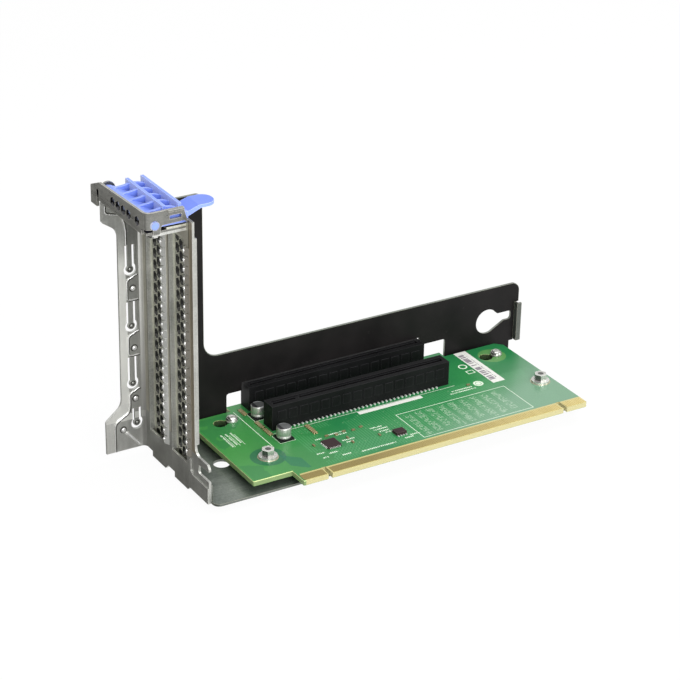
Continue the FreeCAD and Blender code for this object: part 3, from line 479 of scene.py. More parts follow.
# upright lines of shade at the windows' edges, as (y, half width)
WINDOW_LINES = ((-23.9, 0.35), (-41.9, 0.3), (-3.7, 0.25))
# vents stand in three columns; the outer two are this far from the middle one
COVER_MIDDLE, COVER_HALF, VENT_COLUMN = -10.8, 5.4, 3.3
# the lowest vent's middle, and the heights between which vents lie
VENT_PITCH, VENT_LOW, VENTS_FROM, VENTS_TO = 5.15, 11.5, 8.5, 107.0
# a vent is a hexagon: half its height at the middle, half its width, slope of its short sides
VENT_RISE, VENT_REACH, VENT_SLOPE = 2.38, 1.56, 0.55


def frame_tones(made, colour):
    """Warm olive on the upright beside the covers, with painted shade at each window and on faces
    that look left, and painted light on the wing and the bend.
    """
    x, y, z = made.x, made.y, made.z
    across, along, upward = made.faces()
    face = (across < -TOWARDS) * (x > -1.0)
    upright = face * (z > APRON_TOP)
    apron = face * (z < APRON_TOP)
    lines = joined([y.near(place, reach) for place, reach in WINDOW_LINES])
    # painted light: the wing looks at the lamps, so it is painted paler downwards and palest along
    # its outer border
    wing = (along < -TOWARDS) * (x < 0.5) * (y > -3.0)
    paler = (80 - z).step(0, 50) * ((z > FOOT_TOP) * 0.6 + 0.3)
    border = (x < -7.4) * (z > 21.5) * (100 - z).step(0, 16)
    border = border.most((x < -14.6) * (z < FOOT_TOP) * 0.25)
    panels = (x > PANEL_EDGE) * (z > 17.0)
    foot_panel = (x > -13.9) * (z < FOOT_TOP)
    bend = (across < -0.25) * (along < -0.25)
    flange = (along < -TOWARDS) * (y < -43.0)
    return made.coats(
        colour,
        (upright * 0.55, (172, 166, 142)),
        # painted shade, over a tan tone: the post right of the front window, which looks left, is
        # darker
        (upright * (y < -41.7) * 0.75, (142, 130, 108)),
        (upright * lines * 0.8, (70, 66, 54)),
        # painted shade: the apron, which looks left, is darker
        (apron * 0.5, (104, 104, 98)),
        (wing * paler, WARM_WHITE),
        (wing * border * 0.8, WARM_WHITE),
        (wing * panels * 0.65, (120, 120, 116)),
        (wing * foot_panel * 0.3, (110, 110, 106)),
        # painted shade: the wing is darker towards the top
        (wing * (z - 86).step(0, 16) * 0.4, (96, 96, 94)),
        # painted highlight along the bend, and painted shade on its lower part
        (bend * 0.5, WARM_WHITE),
        (bend * (62 - z).step(0, 50) * 0.6, (84, 84, 80)),
        (flange * 0.4, (140, 140, 132)),
        ((upward > TOWARDS) * (z > SHADE_LOW) * 0.8, HOOD_SHADE),
    )


def vent_tones(made, colour):
    """Painted shade keeps the vents and their walls dark out to the rolled rims; the web between
    has a painted highlight.
    """
    across, _, upward = made.faces()
    # both covers fold onto one, measured from its middle column
    side = ((made.y - COVER_MIDDLE + 5.0) % SLOT_PITCH - 5.0).size()
    cover = (side < COVER_HALF) * made.z.between(VENTS_FROM, VENTS_TO)
    face = (across < -TOWARDS) * cover
    half = VENT_PITCH / 2
    middle = ((made.z - VENT_LOW + half) % VENT_PITCH - half).size()
    outer = ((made.z - VENT_LOW) % VENT_PITCH - half).size()
    offset = (side - VENT_COLUMN).size()

    def vents(grow):
        """The hexagons of all three columns, grown by some millimetres."""
        shapes = []
        for rise, reach in ((middle, side), (outer, offset)):
            sloped = rise + reach * VENT_SLOPE < VENT_RISE + grow
            shapes.append(sloped * (reach < VENT_REACH + grow * 0.6))
        return joined(shapes)

    return made.coats(
        colour,
        # olive tone, partly painted shade on the face that looks left
        (face * 0.6, (104, 104, 90)),
        # painted highlight: a pale ring round each vent, which covers the thin web
        (face * vents(0.3) * 0.8, (222, 222, 206)),
        # painted shade: the vents are black out to their rolled rims
        (face * vents(0.0) * 0.98, VENT_SHADE),
        # painted shade on the vents' walls
        ((across.size() < TOWARDS) * cover * 0.98, VENT_SHADE),
        ((upward > TOWARDS) * (made.z > SHADE_LOW) * 0.8, HOOD_SHADE),
    )


print("vents in a column:", int((VENTS_TO - VENT_LOW) / VENT_PITCH) + 1)

# %% [markdown]
# ## Tones of the smaller steel parts, and the steels
# The hood, the contact strips, the tray and the screws need one or two coats each. Then every
# steel is made from the recipe and given to its solids.

# %% Steel finishes
# the holes in the hood's end face lie between these heights
HOLES_LOW, HOLES_HIGH = 116.8, 121.8


def hood_tones(made, colour):
    """Painted shade: the cheek that faces the lamps is darker than the ends, and the floor inside
    is dark.
    """
    _, along, upward = made.faces()
    cheek, floor = along < -TOWARDS, (upward > TOWARDS) * (made.z < 117.0)
    return made.coats(colour, (cheek * 0.4, (66, 66, 62)), (floor * 0.9, (34, 34, 40)))


def hood_holes(made, colour):
    """The cut walls of the holes in the end face, which a shadow fills."""
    wall = (made.faces()[0].size() < 0.6) * made.z.between(HOLES_LOW, HOLES_HIGH)
    wall = wall * (made.x < -16.9) * (made.y > -38.5)
    return made.coats(colour, (wall * 0.95, (16, 16, 22)))


def strip_tones(made, colour):
    """Shade beside each row of beads, and a tan outer border on the front strip."""
    beside = made.y.near(-18.1, 0.9).most(made.y.near(-38.4, 0.9))
    border = made.y < -40.0
    return made.coats(colour, (beside * 0.75, (72, 72, 66)), (border * 0.7, (132, 122, 104)))


def tray_tones(made, colour):
    """The lip and the far tab are darker than the flat of the tray."""
    lip, far_tab = made.faces()[1] < -TOWARDS, made.x > 180.0
    return made.coats(colour, (lip * 0.35, (66, 68, 66)), (far_tab * 0.45, (76, 76, 72)))


def screw_tones(made, colour):
    """Painted shade: hex flanks that look left and right are dark, as turned steel looks in a
    white room.
    """
    across, _, upward = made.faces()
    flank = (across.size() > 0.4) * (made.z > BOARD_TOP + 0.9)
    colour = made.coats(colour, (flank * 0.85, (52, 54, 52)))
    # painted shade in each screw's drive socket
    for cx, cy in SCREWS:
        dx, dy = made.x - cx, made.y - cy
        socket = (dx * dx + dy * dy < 1.7) * (upward > TOWARDS)
        colour = made.coats(colour, (socket * 0.85, (40, 42, 40)))
    return colour


cage_steel = plated(
    "cage_steel", (146, 148, 144), (222, 223, 218), "z", 0.36, (226, 226, 220), frame_tones
)
tray_steel = plated(
    "tray_steel", (96, 104, 98), (150, 157, 149), "x", 0.32, (190, 184, 166), tray_tones
)
cover_steel = plated(
    "cover_steel", (166, 166, 150), (236, 236, 220), "z", 0.36, None, vent_tones
)
hood_steel = plated(
    "hood_steel", (108, 109, 105), (172, 172, 166), "y", 0.3, (250, 246, 236),
    hood_tones, hood_holes,
)
strip_steel = plated(
    "strip_steel", (206, 208, 204), (250, 251, 248), "z", 0.34, None, strip_tones
)
# a near-white steel for painted highlights
highlight_steel = plated("highlight_steel", (250, 250, 248), (255, 255, 255), "z", 0.25)
screw_steel = plated(
    "screw_steel", (150, 150, 146), (240, 240, 234), "x", 0.2, WARM_WHITE, screw_tones
)
dress(cage_steel, "end_frame")
dress(tray_steel, "base_tray")
dress(cover_steel, "slot_cover_rear", "slot_cover_front")
dress(hood_steel, "latch_housing")
dress(strip_steel, "contact_strips")
dress(screw_steel, "board_screws", "board_posts", "board_standoffs", "housing_rivets")
print("steel finishes:", [m.name for m in bpy.data.materials if "steel" in m.name])

# %% [markdown]
# ## Film, blue moulding and black mouldings
# The wall carries a thin insulating film, nearly black and softly glossy. The latch is moulded
# in a mid blue, with painted shade in its nooks and painted highlights on its edges and its faces
# that look left. The slots are glass-filled black plastic, which is matt with a fine grain.

# %% Plastic finishes
def moulded(name, tones, roughness, grain, gloss, scuff=None, edge=None, touch=None):
    """Moulded plastic: soft tone changes, fine grain (its size and depth), edges painted paler for
    wear and a painted highlight.
    """
    made = Finish(name, Specular_IOR_Level=gloss)
    clouds = made.noise(70, 3)
    grain_size, grain_depth = grain
    grains = made.noise(grain_size, 2, 0.6)
    dark, light = tones
    colour = made.blend(clouds.spread(1.6) + 0.5, linear(*dark), linear(*light))
    if scuff:
        scratches = made.noise(420, 5, 0.75, (1, 0.25, 1))
        colour = made.coats(colour, ((scratches > 0.66) * 0.45, scuff))
    if touch:
        colour = touch(made, colour)
    if edge:
        # edges painted paler: wear and a painted highlight
        colour = made.coats(colour, (made.edge_wear_and_highlight(0.00035) * 0.7, edge))
    rough = clouds.spread(0.18) + grains.spread(0.14) + roughness
    return made.done(colour, rough, grains, grain_depth, 0.6)


def latch_tones(made, colour):
    """Painted shade in the nooks and on the lever's top, a painted highlight on rib flanks that
    look left, and a steel rim on the pin's end.
    """
    across, along, upward = made.faces()
    open_sky = made.add("ShaderNodeAmbientOcclusion", {"samples": 6}, {"Distance": 0.005})
    nook = (1 - Sum(made.tree, open_sky.outputs["AO"])).step(0.25, 1.0)
    lever = (upward > TOWARDS) * (made.x > 3.0)
    dx, dz = made.x - LATCH_PIN[0], made.z - LATCH_PIN[1]
    rim = (dx * dx + dz * dz > 2.1) * (made.y < -40.9) * (along < -TOWARDS)
    return made.coats(
        colour,
        # painted shade in the nooks, from ambient occlusion
        (nook * 0.9, (48, 72, 160)),
        # painted highlight on the rib flanks that look left
        ((across < -TOWARDS) * 0.85, (214, 224, 255)),
        # painted shade on the lever's top
        (lever * 0.6, (88, 114, 208)),
        (rim * 0.9, (120, 122, 128)),
    )


film_black = moulded(
    "film_black", ((16, 16, 16), (30, 28, 28)), 0.36, (1800, 0.00001), 0.12, (44, 42, 41)
)
latch_blue = moulded(
    "latch_blue", ((112, 136, 222), (146, 166, 240)), 0.4, (2200, 0.00002), 0.35,
    (176, 194, 252), (206, 218, 255), latch_tones,
)
slot_black = moulded(
    "slot_black", ((8, 8, 9), (22, 22, 23)), 0.5, (2600, 0.00002), 0.12,
    (40, 40, 42), (56, 56, 58),
)
chip_black = moulded(
    "chip_black", ((34, 24, 26), (62, 46, 48)), 0.5, (5200, 0.00001), 0.15, None, (96, 84, 84)
)
dress(film_black, "wall_film")
dress(latch_blue, "retention_latch")
dress(slot_black, "connector_rear", "connector_front", "capacitor_bases")
dress(chip_black, "switch_chip", "memory_chip")
print("plastic finishes:", film_black.name, latch_blue.name, slot_black.name, chip_black.name)

# %% [markdown]
# ## The circuit board
# A board is cloth and resin under a glossy green lacquer. Copper under the lacquer shows as
# paler lanes and holes as small dots. All of it is drawn from the two coordinates across the
# board: a mark is a product of comparisons.

# %% Board lacquer and copper
board = Finish("board_green", Specular_IOR_Level=0.3, Coat_Roughness=0.12)
x, y, z = board.x, board.y, board.z


def inside(x0, x1, y0, y1):
    """One within a rectangle of the board, else zero."""
    return x.between(x0, x1) * y.between(y0, y1)


def ruled(x0, x1, y0, y1, line):
    """The thin outline of a rectangle."""
    return inside(x0, x1, y0, y1) - inside(x0 + line, x1 - line, y0 + line, y1 - line)


def ring(centre, outer, inner=0.0):
    """One between two circles round a point."""
    dx, dy = x - centre[0], y - centre[1]
    square = dx * dx + dy * dy
    return (square < outer * outer) * (square > inner * inner)


clouds = board.noise(28, 4, 0.55)
weave = board.noise(1700, 2)
speck = board.noise(900, 2, 0.6)
lanes = ((x % 1.27) < 0.42) * inside(52, 172, -61.5, -29)
slants = (((x + y) % 1.6) < 0.45) * inside(100, 176, -37, -28)
fan = (((x - y) % 1.9) < 0.5) * inside(58, 98, -60, -50)
pours = (clouds > 0.54) * inside(20, 60, -59, -3)
copper = joined([lanes, slants, fan]) * (clouds > 0.42)
dot_x, dot_y = x % 2.9 - 1.45, y % 2.3 - 1.15
dots = ((dot_x * dot_x + dot_y * dot_y) < 0.05) * (board.noise(160, 2) > 0.56) * (x > 54.0)
deep_patch = inside(39, 46, -60, -44) * (x * 0.9 + y).between(-20.0, -10.0)
# the window's pale reflection lies beyond a slanting line
haze = (x * 0.554 - y - 113.6).step(-2.0, 22.0)
green = board.blend((x - 24) / 50, linear(64, 131, 62), linear(26, 108, 62))
green = board.coats(
    green,
    ((clouds.spread(1.8) + 0.5) * 0.5, (60, 142, 74)),
    (pours * 0.45, (36, 104, 62)),
    (copper * 0.3, (96, 170, 116)),
    (ring(SCREWS[0], 7.6, 4.4) * 0.7, (24, 88, 66)),
    (deep_patch * 0.6, (20, 100, 76)),
    (haze * 0.5, (138, 164, 146)),
    (dots * (x < 140.0) * 0.45, (168, 196, 160)),
)

print("nodes for lacquer and copper:", len(board.tree.nodes))

# %% [markdown]
# ## White print and the cut edge
# Print marks show where parts go: frames, rings and rows of ticks that stand in for words. The
# board's edge shows the bare cloth, paler at the contact tongue, under a painted highlight along
# the lacquer's rim; painted shade darkens the walls of the post holes.

# %% White print, cut edge and the finished board
# half the side of the printed frame round a can, and where the contact tongue begins
CAN_FRAME, TONGUE_LEFT = 3.7, 38.5
# short rows of ticks, as (left, low, width)
TICK_ROWS = (
    (66.0, -40.4, 7), (68.5, -42.2, 5), (58.6, -41.6, 3), (84.0, -44.2, 6), (84.5, -46.2, 7),
    (86.0, -48.4, 5), (88.0, -50.2, 3), (68.2, -47.6, 6), (69.0, -49.6, 4), (58.0, -54.4, 4),
    (62.2, -58.2, 4), (70.6, -59.4, 17), (96.0, -57.0, 5), (92.8, -58.4, 4), (133.0, -32.6, 11),
    (131.5, -34.4, 13), (52.8, -52.6, 4), (53.6, -56.6, 3),
)
marks = [ruled(100, 156.5, -61.5, -38.5, 0.3)]
for cx, cy in CANS:
    marks.append(ruled(cx - CAN_FRAME, cx + CAN_FRAME, cy - CAN_FRAME, cy + CAN_FRAME, 0.22))
marks += [inside(45.5, 137.5, -28.0, -27.75), inside(40.2, 40.5, -36.9, -2.6)]
disc = (147.9, -31.1)
marks.append(ring(disc, 2.3) - ring(disc, 1.5, 1.15) * 0.8)
marks += [ring((150.8, -14.2), 2.1, 1.5), ruled(149.2, 153.0, -21.6, -18.6, 0.4)]
for k in range(3):
    left = 25.4 + 2.3 * k
    column = ((y % 0.9) < 0.55) * inside(left, left + 0.8, -30.0 + k, -18.0)
    marks += [column * (speck > 0.4), inside(left + 1.2, left + 1.4, -30.0, -20.0)]
for k in range(9):
    left = 102.5 + 5.6 * k
    ticks = ((y % 1.0) < 0.6) * ((x % 0.7) < 0.45)
    block = ticks * inside(left, left + 3.4, -60.0 + (k % 3), -40.5)
    marks.append(block * (speck > 0.5) * 0.55)
for left, low, wide in TICK_ROWS:
    ticks = ((x % 0.9) < 0.6) * (speck > 0.4)
    marks.append(ticks * inside(left, left + wide, low, low + 0.9))
print_marks = joined(marks)

tinned = joined([ring(screw, 4.5, 2.0) for screw in SCREWS])
edge = z.between(BOARD_TOP - BOARD_THICK, BOARD_TOP - 0.1)
tongue = (y < -60.5) * (x > TONGUE_LEFT)
# painted highlight along the top rim of the cut edge
rim_highlight = z.between(BOARD_TOP - 0.42, BOARD_TOP + 0.02) * (board.faces()[2] < 0.7)
# painted shade on the walls of the post holes
hole_wall = edge * joined([ring(hole, 5.6) for hole in POST_HOLES])
front_rim = (y < -62.9) * (x > TONGUE_LEFT) * (z > BOARD_TOP - 0.11)
surface = board.coats(
    green,
    (print_marks * (z > BOARD_TOP - 0.06), (214, 228, 208)),
    (ring(POST_HOLES[1], 6.4) * 0.4, (120, 160, 84)),
    (tinned, (168, 166, 140)),
)
cut = board.blend(tongue, linear(120, 138, 92), linear(184, 174, 128))
surface = board.coats(
    board.blend(edge * 0.9, surface, cut),
    (rim_highlight * (1 - tongue) * 0.8, (214, 226, 160)),
    (hole_wall * 0.9, (30, 46, 26)),
    (front_rim * 0.9, (192, 178, 118)),
)
roughness = weave.spread(0.1) + print_marks * 0.25 + edge * 0.2 + 0.3
height = weave * 0.25 + copper * 0.6 + print_marks * 0.5
board.feed("Metallic", tinned * 0.7)
board.feed("Coat Weight", (1 - edge) * (haze * 0.3 + 0.03))
dress(board.done(surface, roughness, height, 0.00003, 0.6), "riser_board")
print("board nodes:", len(board.tree.nodes))

# %% [markdown]
# ## Gold, tin, cans, paper and ceramic
# The edge contacts are gold over nickel with fine streaks; a painted reflection makes them dark
# at the left and bright to the right. Solder leads are bright tin.
# A capacitor's can is drawn aluminium, with a dark sector printed on its top. Labels are paper
# with plain bars and no words.

# %% Small finishes
FINE = 0.00001  # the depth of a grain too small to see, in metres
gold = Finish("contact_gold", Metallic=0.6)
streaks_and_sheen = gold.noise(320, 4, 0.6, (1, 0.3, 1))
along = gold.x.step(70, 178)
gaps = ((gold.x + gold.y * 0.05) % 1.0) < 0.3
# painted reflection: dark brown-gold at the left, bright gold with brighter streaks to the right
plate = gold.coats(
    gold.blend(along, linear(142, 126, 72), linear(210, 190, 116)),
    ((streaks_and_sheen.spread(1.6) + 0.5) * along * 0.5, (240, 226, 166)),
    (gaps * 0.55, (150, 128, 62)),
)
dress(gold.done(plate, streaks_and_sheen.spread(0.3) + 0.28, streaks_and_sheen, FINE, 0.4), "edge_contacts")

tin = Finish("lead_tin", Metallic=0.35)
solder = tin.noise(900, 3, 0.6)
bright = tin.blend(solder, linear(196, 200, 194), linear(244, 246, 240))
tin.done(bright, solder * 0.3 + 0.18, solder, 0.00002, 0.5)
dress(tin.material, "connector_leads_rear", "connector_leads_front", "memory_chip_legs")

can = Finish("can_aluminium", Metallic=0.75)
drawn = can.noise(1100, 2, 0.5, (1, 1, 0.04))
cap_top = (can.z > BOARD_TOP + 5.66) * (can.faces()[2] > 0.6)
sector = cap_top * can.x.near(CANS[0][0], 2.66) * (can.x < 46.9)
shade = can.coats(
    can.blend(drawn, linear(168, 168, 164), linear(222, 222, 218)),
    (cap_top, (116, 118, 118)),
    (sector, (58, 58, 60)),
)
dress(can.done(shade, drawn * 0.25 + 0.22, drawn, FINE, 0.4), "capacitor_cans")

paper = Finish("label_paper", Specular_IOR_Level=0.4)
fibre = paper.noise(2100, 3, 0.6)
px, py = paper.x, paper.y
bars = paper.noise(900, 1, 0.5, (0.02, 1, 1)) > 0.47
bars = bars * px.between(154.6, 157.4) * py.between(-31.0, -4.0)
fine_ticks = paper.noise(1500, 2, 0.7) > 0.53
fine_ticks = fine_ticks * px.between(157.9, 158.7) * py.between(-30.0, -4.5)
specks = paper.noise(800, 2, 0.7) > 0.6
specks = specks * px.between(84, 130) * py.near(-31.4, 0.5) * 0.4
printed = joined([bars, fine_ticks, specks])
white = paper.blend(fibre, linear(202, 202, 196), linear(230, 230, 224))
white = paper.coats(white, (printed * 0.8, (96, 84, 100)))
dress(paper.done(white, fibre * 0.2 + 0.45, fibre, FINE, 0.4), "board_label", "bar_label")

array = Finish("array_stripes", Specular_IOR_Level=0.4)
resin = array.noise(1300, 2)
stripes = ((array.x + array.y) % 1.27) < 0.34
tan = array.blend(resin, linear(58, 52, 30), linear(98, 84, 50))
tan = array.coats(tan, (stripes * 0.9, (214, 200, 150)))
dress(array.done(tan, resin * 0.2 + 0.4, resin, FINE, 0.4), "resistor_arrays")

ceramic = Finish("ceramic_tan", Specular_IOR_Level=0.5)
fired = ceramic.noise(1500, 2)
tan = ceramic.blend(fired, linear(92, 84, 58), linear(134, 120, 84))
dress(ceramic.done(tan, fired * 0.2 + 0.4, fired, FINE, 0.4), "small_passives")
print("solids with no finish:", [name for name, o in nodes.items() if not o.data.materials])

# %% [markdown]
# ## Small hardware from Geometry Nodes
# Rows of the same small thing are made once and repeated by a node tree. Two trees do all of it
# here: one puts a squashed ball on every point of a mesh, the other sweeps a thin round wire
# along every edge.

# %% Two trees: balls on points, wire along lines
def new_tree(name, inputs):
    """An empty Geometry Nodes tree with a mesh in, a mesh out and named inputs."""
    tree = bpy.data.node_groups.new(name, "GeometryNodeTree")
    tree.interface.new_socket("Mesh", in_out="INPUT", socket_type="NodeSocketGeometry")
    for label, kind in inputs:
        tree.interface.new_socket(label, in_out="INPUT", socket_type="NodeSocket" + kind)
    tree.interface.new_socket("Mesh", in_out="OUTPUT", socket_type="NodeSocketGeometry")
    return tree, tree.nodes.new("NodeGroupInput"), tree.nodes.new("NodeGroupOutput")


def finish_tree(tree, start, end, geometry):
    """Real faces, smooth shading and one material, as every tree here ends."""
    real = tree.nodes.new("GeometryNodeRealizeInstances")
    smooth = tree.nodes.new("GeometryNodeSetShadeSmooth")
    paint = tree.nodes.new("GeometryNodeSetMaterial")
    tree.links.new(geometry, real.inputs["Geometry"])
    tree.links.new(real.outputs["Geometry"], smooth.inputs["Geometry"])
    tree.links.new(smooth.outputs["Geometry"], paint.inputs["Geometry"])
    tree.links.new(start.outputs["Finish"], paint.inputs["Material"])
    tree.links.new(paint.outputs["Geometry"], end.inputs[0])


def ball_tree():
    """A squashed ball on every point: Radius in metres, Squash as three factors."""
    inputs = (("Radius", "Float"), ("Squash", "Vector"), ("Finish", "Material"))
    tree, start, end = new_tree("balls_on_points", inputs)
    ball = tree.nodes.new("GeometryNodeMeshUVSphere")
    ball.inputs["Segments"].default_value = 10
    ball.inputs["Rings"].default_value = 6
    tree.links.new(start.outputs["Radius"], ball.inputs["Radius"])
    repeat = tree.nodes.new("GeometryNodeInstanceOnPoints")
    tree.links.new(start.outputs["Mesh"], repeat.inputs["Points"])
    tree.links.new(ball.outputs["Mesh"], repeat.inputs["Instance"])
    tree.links.new(start.outputs["Squash"], repeat.inputs["Scale"])
    finish_tree(tree, start, end, repeat.outputs["Instances"])
    return tree


def wire_tree():
    """A wire along every line: Radius in metres, Sides round the wire."""
    inputs = (("Radius", "Float"), ("Sides", "Int"), ("Finish", "Material"))
    tree, start, end = new_tree("wire_on_lines", inputs)
    line = tree.nodes.new("GeometryNodeMeshToCurve")
    profile = tree.nodes.new("GeometryNodeCurvePrimitiveCircle")
    sweep = tree.nodes.new("GeometryNodeCurveToMesh")
    sweep.inputs["Fill Caps"].default_value = True
    tree.links.new(start.outputs["Mesh"], line.inputs["Mesh"])
    tree.links.new(start.outputs["Radius"], profile.inputs["Radius"])
    tree.links.new(start.outputs["Sides"], profile.inputs["Resolution"])
    tree.links.new(line.outputs["Curve"], sweep.inputs["Curve"])
    tree.links.new(profile.outputs["Curve"], sweep.inputs["Profile Curve"])
    finish_tree(tree, start, end, sweep.outputs["Mesh"])
    return tree


BALLS, WIRE = ball_tree(), wire_tree()
print("trees:", BALLS.name, WIRE.name)

# %% [markdown]
# ## Running a tree once
# A piece starts as bare points or lines. Its tree runs once, and the result is kept as an
# ordinary mesh, which rides on the cage like the steel that it sits on.

# %% Pieces from points and lines
def points_mesh(spots):
    """A mesh of loose points, from places in drawing millimetres."""
    mesh = bpy.data.meshes.new("spots")
    mesh.from_pydata([at(*spot) for spot in spots], [], [])
    return mesh


def lines_mesh(lines):
    """A mesh of separate lines of places; a line that ends where it starts is closed."""
    points, edges = [], []
    for line in lines:
        closed = line[0] == line[-1]
        first, count = len(points), len(line) - closed
        points += [at(*spot) for spot in line[:count]]
        edges += [(first + k, first + k + 1) for k in range(count - 1)]
        edges += [(first + count - 1, first)] * closed
    mesh = bpy.data.meshes.new("lines")
    mesh.from_pydata(points, edges, [])
    return mesh


def grown(name, tree, source, slot, **values):
    """Run a tree once on a mesh, keep the plain result and hand it to the frame."""
    piece = bpy.data.objects.new(name, source)
    scene.collection.objects.link(piece)
    run = piece.modifiers.new("run", "NODES")
    run.node_group = tree
    for socket in tree.interface.items_tree:
        if socket.in_out == "INPUT" and socket.name in values:
            run[socket.identifier] = values[socket.name]
    ready = piece.evaluated_get(bpy.context.evaluated_depsgraph_get())
    mesh = bpy.data.meshes.new_from_object(ready)
    piece.modifiers.clear()
    piece.data = mesh
    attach(piece, "cage")


def balls(name, spots, slot, radius, squash, finish):
    """A squashed ball at every spot; the radius is in metres."""
    grown(name, BALLS, points_mesh(spots), slot, Radius=radius, Squash=squash, Finish=finish)


def wires(name, lines, slot, radius, sides, finish):
    """A round wire along every line; the radius is in metres."""
    grown(name, WIRE, lines_mesh(lines), slot, Radius=radius, Sides=sides, Finish=finish)


print("helpers:", balls.__name__, wires.__name__)

# %% [markdown]
# ## Contact strips and the wing's pressed shapes
# Each spring of the contact strips carries a small near-white bead, a painted highlight on its
# crest. The wing is pressed: round every spring finger runs a raised panel, whose border catches
# the light on one side and stays dark on the other. A thin near-white wire, a painted highlight,
# and a thin dark wire, painted shade, side by side show both; dark rings of painted shade go round
# the dimples and the fingers' heads.

# %% Beads and the pressed wing
SPRING_PITCH, SPRING_HEIGHT, SPRING_CREST = 4.05, 3.45, -1.0
# the two strips, as (y, lowest spring, number of springs)
STRIPS = ((-19.1, 10.5, 24), (-39.42, 14.55, 23))
# depths of the raised panels, of the plain sheet beside them and of the ridge's crest
WING_FACE, WING_SHEET, RIDGE_FACE = -0.10, 0.25, -0.35
# a line of painted shade runs this far beside its line of painted highlight
LINE_SHIFT = 0.42
# the pressed panels, as (top, low), of which the last runs on down to the foot
PANELS = ((82.6, 68.0), (57.1, 42.8), (30.6, None))
# middles of the dimples and of the fingers' round heads, as (x, z)
DIMPLES = ((-4.5, 74.1), (-4.5, 46.95), (-4.5, 23.55), (-10.5, 10.0))
FINGER_HEADS = ((-5.3, 82.6), (-5.3, 57.1), (-5.3, 30.6), (-3.9, 11.8))


def circle(centre, r, y, steps):
    """A closed round line on the wing."""
    turn = [2 * math.pi * k / steps for k in range(steps)]
    line = [(centre[0] + r * math.cos(a), y, centre[1] + r * math.sin(a)) for a in turn]
    return line + line[:1]


def panel_lines(shift):
    """The borders of the wing's pressed panels, moved sideways by a shift."""
    lines = []
    for top, low in PANELS:
        head = top - 2.85
        line = [(-2.4, head + 0.4), (-3.6, head + 0.1), (-4.7, head - 0.6), (-6.2, head - 1.2)]
        line.append((PANEL_EDGE, head - 2.2))
        if low:
            line += [(PANEL_EDGE, low + 1.9), (-6.6, low + 1.1)]
            line += [(-5.6, low + 0.9), (-2.4, low + 0.9)]
        else:
            line += [(PANEL_EDGE, 20.9), (-7.5, 18.4), (-8.4, 17.0), (-12.6, 14.6)]
            line += [(-13.9, 13.4), (-14.3, 12.0), (-14.3, 0.6)]
        lines.append([(x + shift, WING_FACE, z - shift) for x, z in line])
    # the border under the wing's head
    line = [(-16.0, 112.6), (-16.0, 109.8), (-15.4, 108.9), (-9.8, 107.3)]
    line += [(-8.6, 106.2), (-7.6, 103.2), (PANEL_EDGE, 99.8), (PANEL_EDGE, 93.6)]
    lines.append([(x + shift, WING_FACE, z + shift) for x, z in line])
    return lines


beads = []
for row_y, low, count in STRIPS:
    first = low + SPRING_HEIGHT / 2
    beads += [(SPRING_CREST, row_y, first + SPRING_PITCH * k) for k in range(count)]
balls("strip_beads", beads, "strip_metal", 0.00062, (0.6, 0.9, 1.4), highlight_steel)

highlight_lines = panel_lines(0.0)
shaded_lines = panel_lines(LINE_SHIFT) + [circle(c, 1.4, WING_FACE, 18) for c in DIMPLES]
shaded_lines += [circle(c, 0.9, WING_SHEET, 14) for c in FINGER_HEADS]
ridge = [(-9.2, WING_FACE, 8.4), (-8.4, RIDGE_FACE, 7.6)]
ridge += [(-4.2, RIDGE_FACE, 2.9), (-3.4, WING_FACE, 2.0)]
# a dark steel for lines and rings of painted shade
shade_line_steel = plated("shade_line_steel", (40, 40, 37), (76, 76, 70), "z", 0.5)
wires("wing_borders", highlight_lines, "plated_steel", 0.00022, 8, highlight_steel)
wires("wing_shade_wires", shaded_lines, "plated_steel", 0.0002, 8, shade_line_steel)
wires("wing_ridge", [ridge], "plated_steel", 0.0006, 12, highlight_steel)
bumps = [(x, WING_FACE, z) for x, z in DIMPLES]
balls("wing_dimples", bumps, "plated_steel", 0.0012, (1, 0.6, 1), highlight_steel)
heads = [(x, WING_SHEET, z) for x, z in FINGER_HEADS]
balls("finger_dimples", heads, "plated_steel", 0.0006, (1, 0.5, 1), cage_steel)
print("wing lines:", len(highlight_lines), "bright,", len(shaded_lines), "dull")

# %% [markdown]
# ## Pins and slot contacts
# A chip's leads leave its side, bend down and end flat on the board: three short stretches of
# wire. A card slot holds two facing rows of sprung gold contacts, 1 mm apart, that bow into the
# gap where the card goes.

# %% Chip leads and sprung contacts
# a lead's profile, as (distance from the chip's middle, height above the board)
LEAD = ((3.15, 0.5), (3.4, 0.45), (3.5, 0.1), (3.75, 0.1))
LEADS, LEAD_PITCH = 9, 0.6
# a contact's bow, as (distance from the slot's middle, height)
BOW = ((0.88, 16.0), (0.72, 15.2), (0.5, 13.6), (0.8, 11.2))
CONTACTS, CONTACT_PITCH, FIRST_CONTACT = 82, 1.0, 49.3
# the key that divides a card's contacts lies after this one
LAST_BEFORE_KEY, KEY_GAP = 10, 1.9
REAR_SLOT_Y = -1.37
lead_lines = []
for k in range(LEADS):
    step = LEAD_PITCH * (k - (LEADS - 1) / 2)
    for c, s in ((1, 0), (0, 1), (-1, 0), (0, -1)):
        x0, y0 = SWITCH_CHIP[0] - s * step, SWITCH_CHIP[1] + c * step
        lead_lines.append([(x0 + c * out, y0 + s * out, BOARD_TOP + rise) for out, rise in LEAD])
wires("switch_leads", lead_lines, "tinned_metal", 0.0001, 6, tin.material)
contacts = []
for middle in (REAR_SLOT_Y, REAR_SLOT_Y - SLOT_PITCH):
    for k in range(CONTACTS):
        place_x = FIRST_CONTACT + CONTACT_PITCH * k + KEY_GAP * (k > LAST_BEFORE_KEY)
        for side in (-1, 1):
            contacts.append([(place_x, middle + side * out, rise) for out, rise in BOW])
wires("slot_contacts", contacts, "gold", 0.00016, 4, gold.material)
print("leads:", len(lead_lines), "contacts:", len(contacts))

# %% [markdown]
# ## Turned parts
# The capacitors' cans and the post heads are round, so their profiles are turned about an
# upright axis. A can has a waist where its rubber plug is crimped, a rounded shoulder and a
# slightly sunken top.

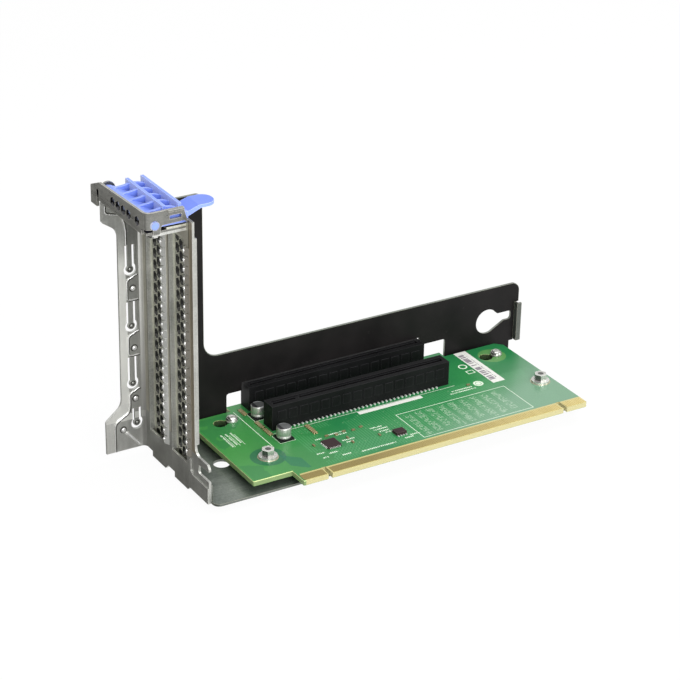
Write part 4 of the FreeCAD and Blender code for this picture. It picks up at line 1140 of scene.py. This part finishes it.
# %% Cans and post heads
# profiles of (radius, height), which start and end on the axis
CAN_PROFILE = (
    (0, 0), (2.95, 0), (3.12, 0.2), (3.15, 0.7), (2.9, 1.1), (2.9, 1.4), (3.15, 1.9),
    (3.15, 4.55), (3.08, 4.8), (2.9, 4.95), (2.72, 5.0), (2.62, 4.9), (0, 4.9),
)
DOME_PROFILE = (
    (0, 0), (2.64, 0), (2.7, 0.25), (2.66, 0.7), (2.4, 1.25), (1.9, 1.7), (1.3, 2.0),
    (0.6, 2.13), (0, 2.16),
)
CAN_FOOT, DOME_FOOT = 7.14, 6.42
TURN_STEPS = 36


def turned(name, profile, centres, foot, finish):
    """Closed round bodies from one profile, each standing at a centre."""
    shape = bmesh.new()
    turn = [2 * math.pi * k / TURN_STEPS for k in range(TURN_STEPS)]
    for cx, cy in centres:
        rings = []
        for r, h in profile:
            angles = turn if r else turn[:1]
            spots = [at(cx + r * math.cos(a), cy + r * math.sin(a), foot + h) for a in angles]
            rings.append([shape.verts.new(spot) for spot in spots])
        for low, high in zip(rings, rings[1:]):
            for k in range(TURN_STEPS):
                a, b = low[k % len(low)], low[(k + 1) % len(low)]
                c, d = high[(k + 1) % len(high)], high[k % len(high)]
                # on the axis two of the four corners are one, which leaves a triangle
                shape.faces.new(list(dict.fromkeys((a, b, c, d))))
    bmesh.ops.recalc_face_normals(shape, faces=shape.faces)
    mesh = bpy.data.meshes.new(name)
    shape.to_mesh(mesh)
    shape.free()
    mesh.shade_smooth()
    mesh.set_sharp_from_angle(angle=math.radians(40))
    mesh.materials.append(finish)
    piece = bpy.data.objects.new(name, mesh)
    scene.collection.objects.link(piece)
    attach(piece, "cage")
    return piece


cans = turned("turned_cans", CAN_PROFILE, CANS, CAN_FOOT, can.material)
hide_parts("capacitor_cans")
turned("post_domes", DOME_PROFILE, POSTS, DOME_FOOT, screw_steel)
print("turned parts:", len(CANS), "cans,", len(POSTS), "post heads")

# %% [markdown]
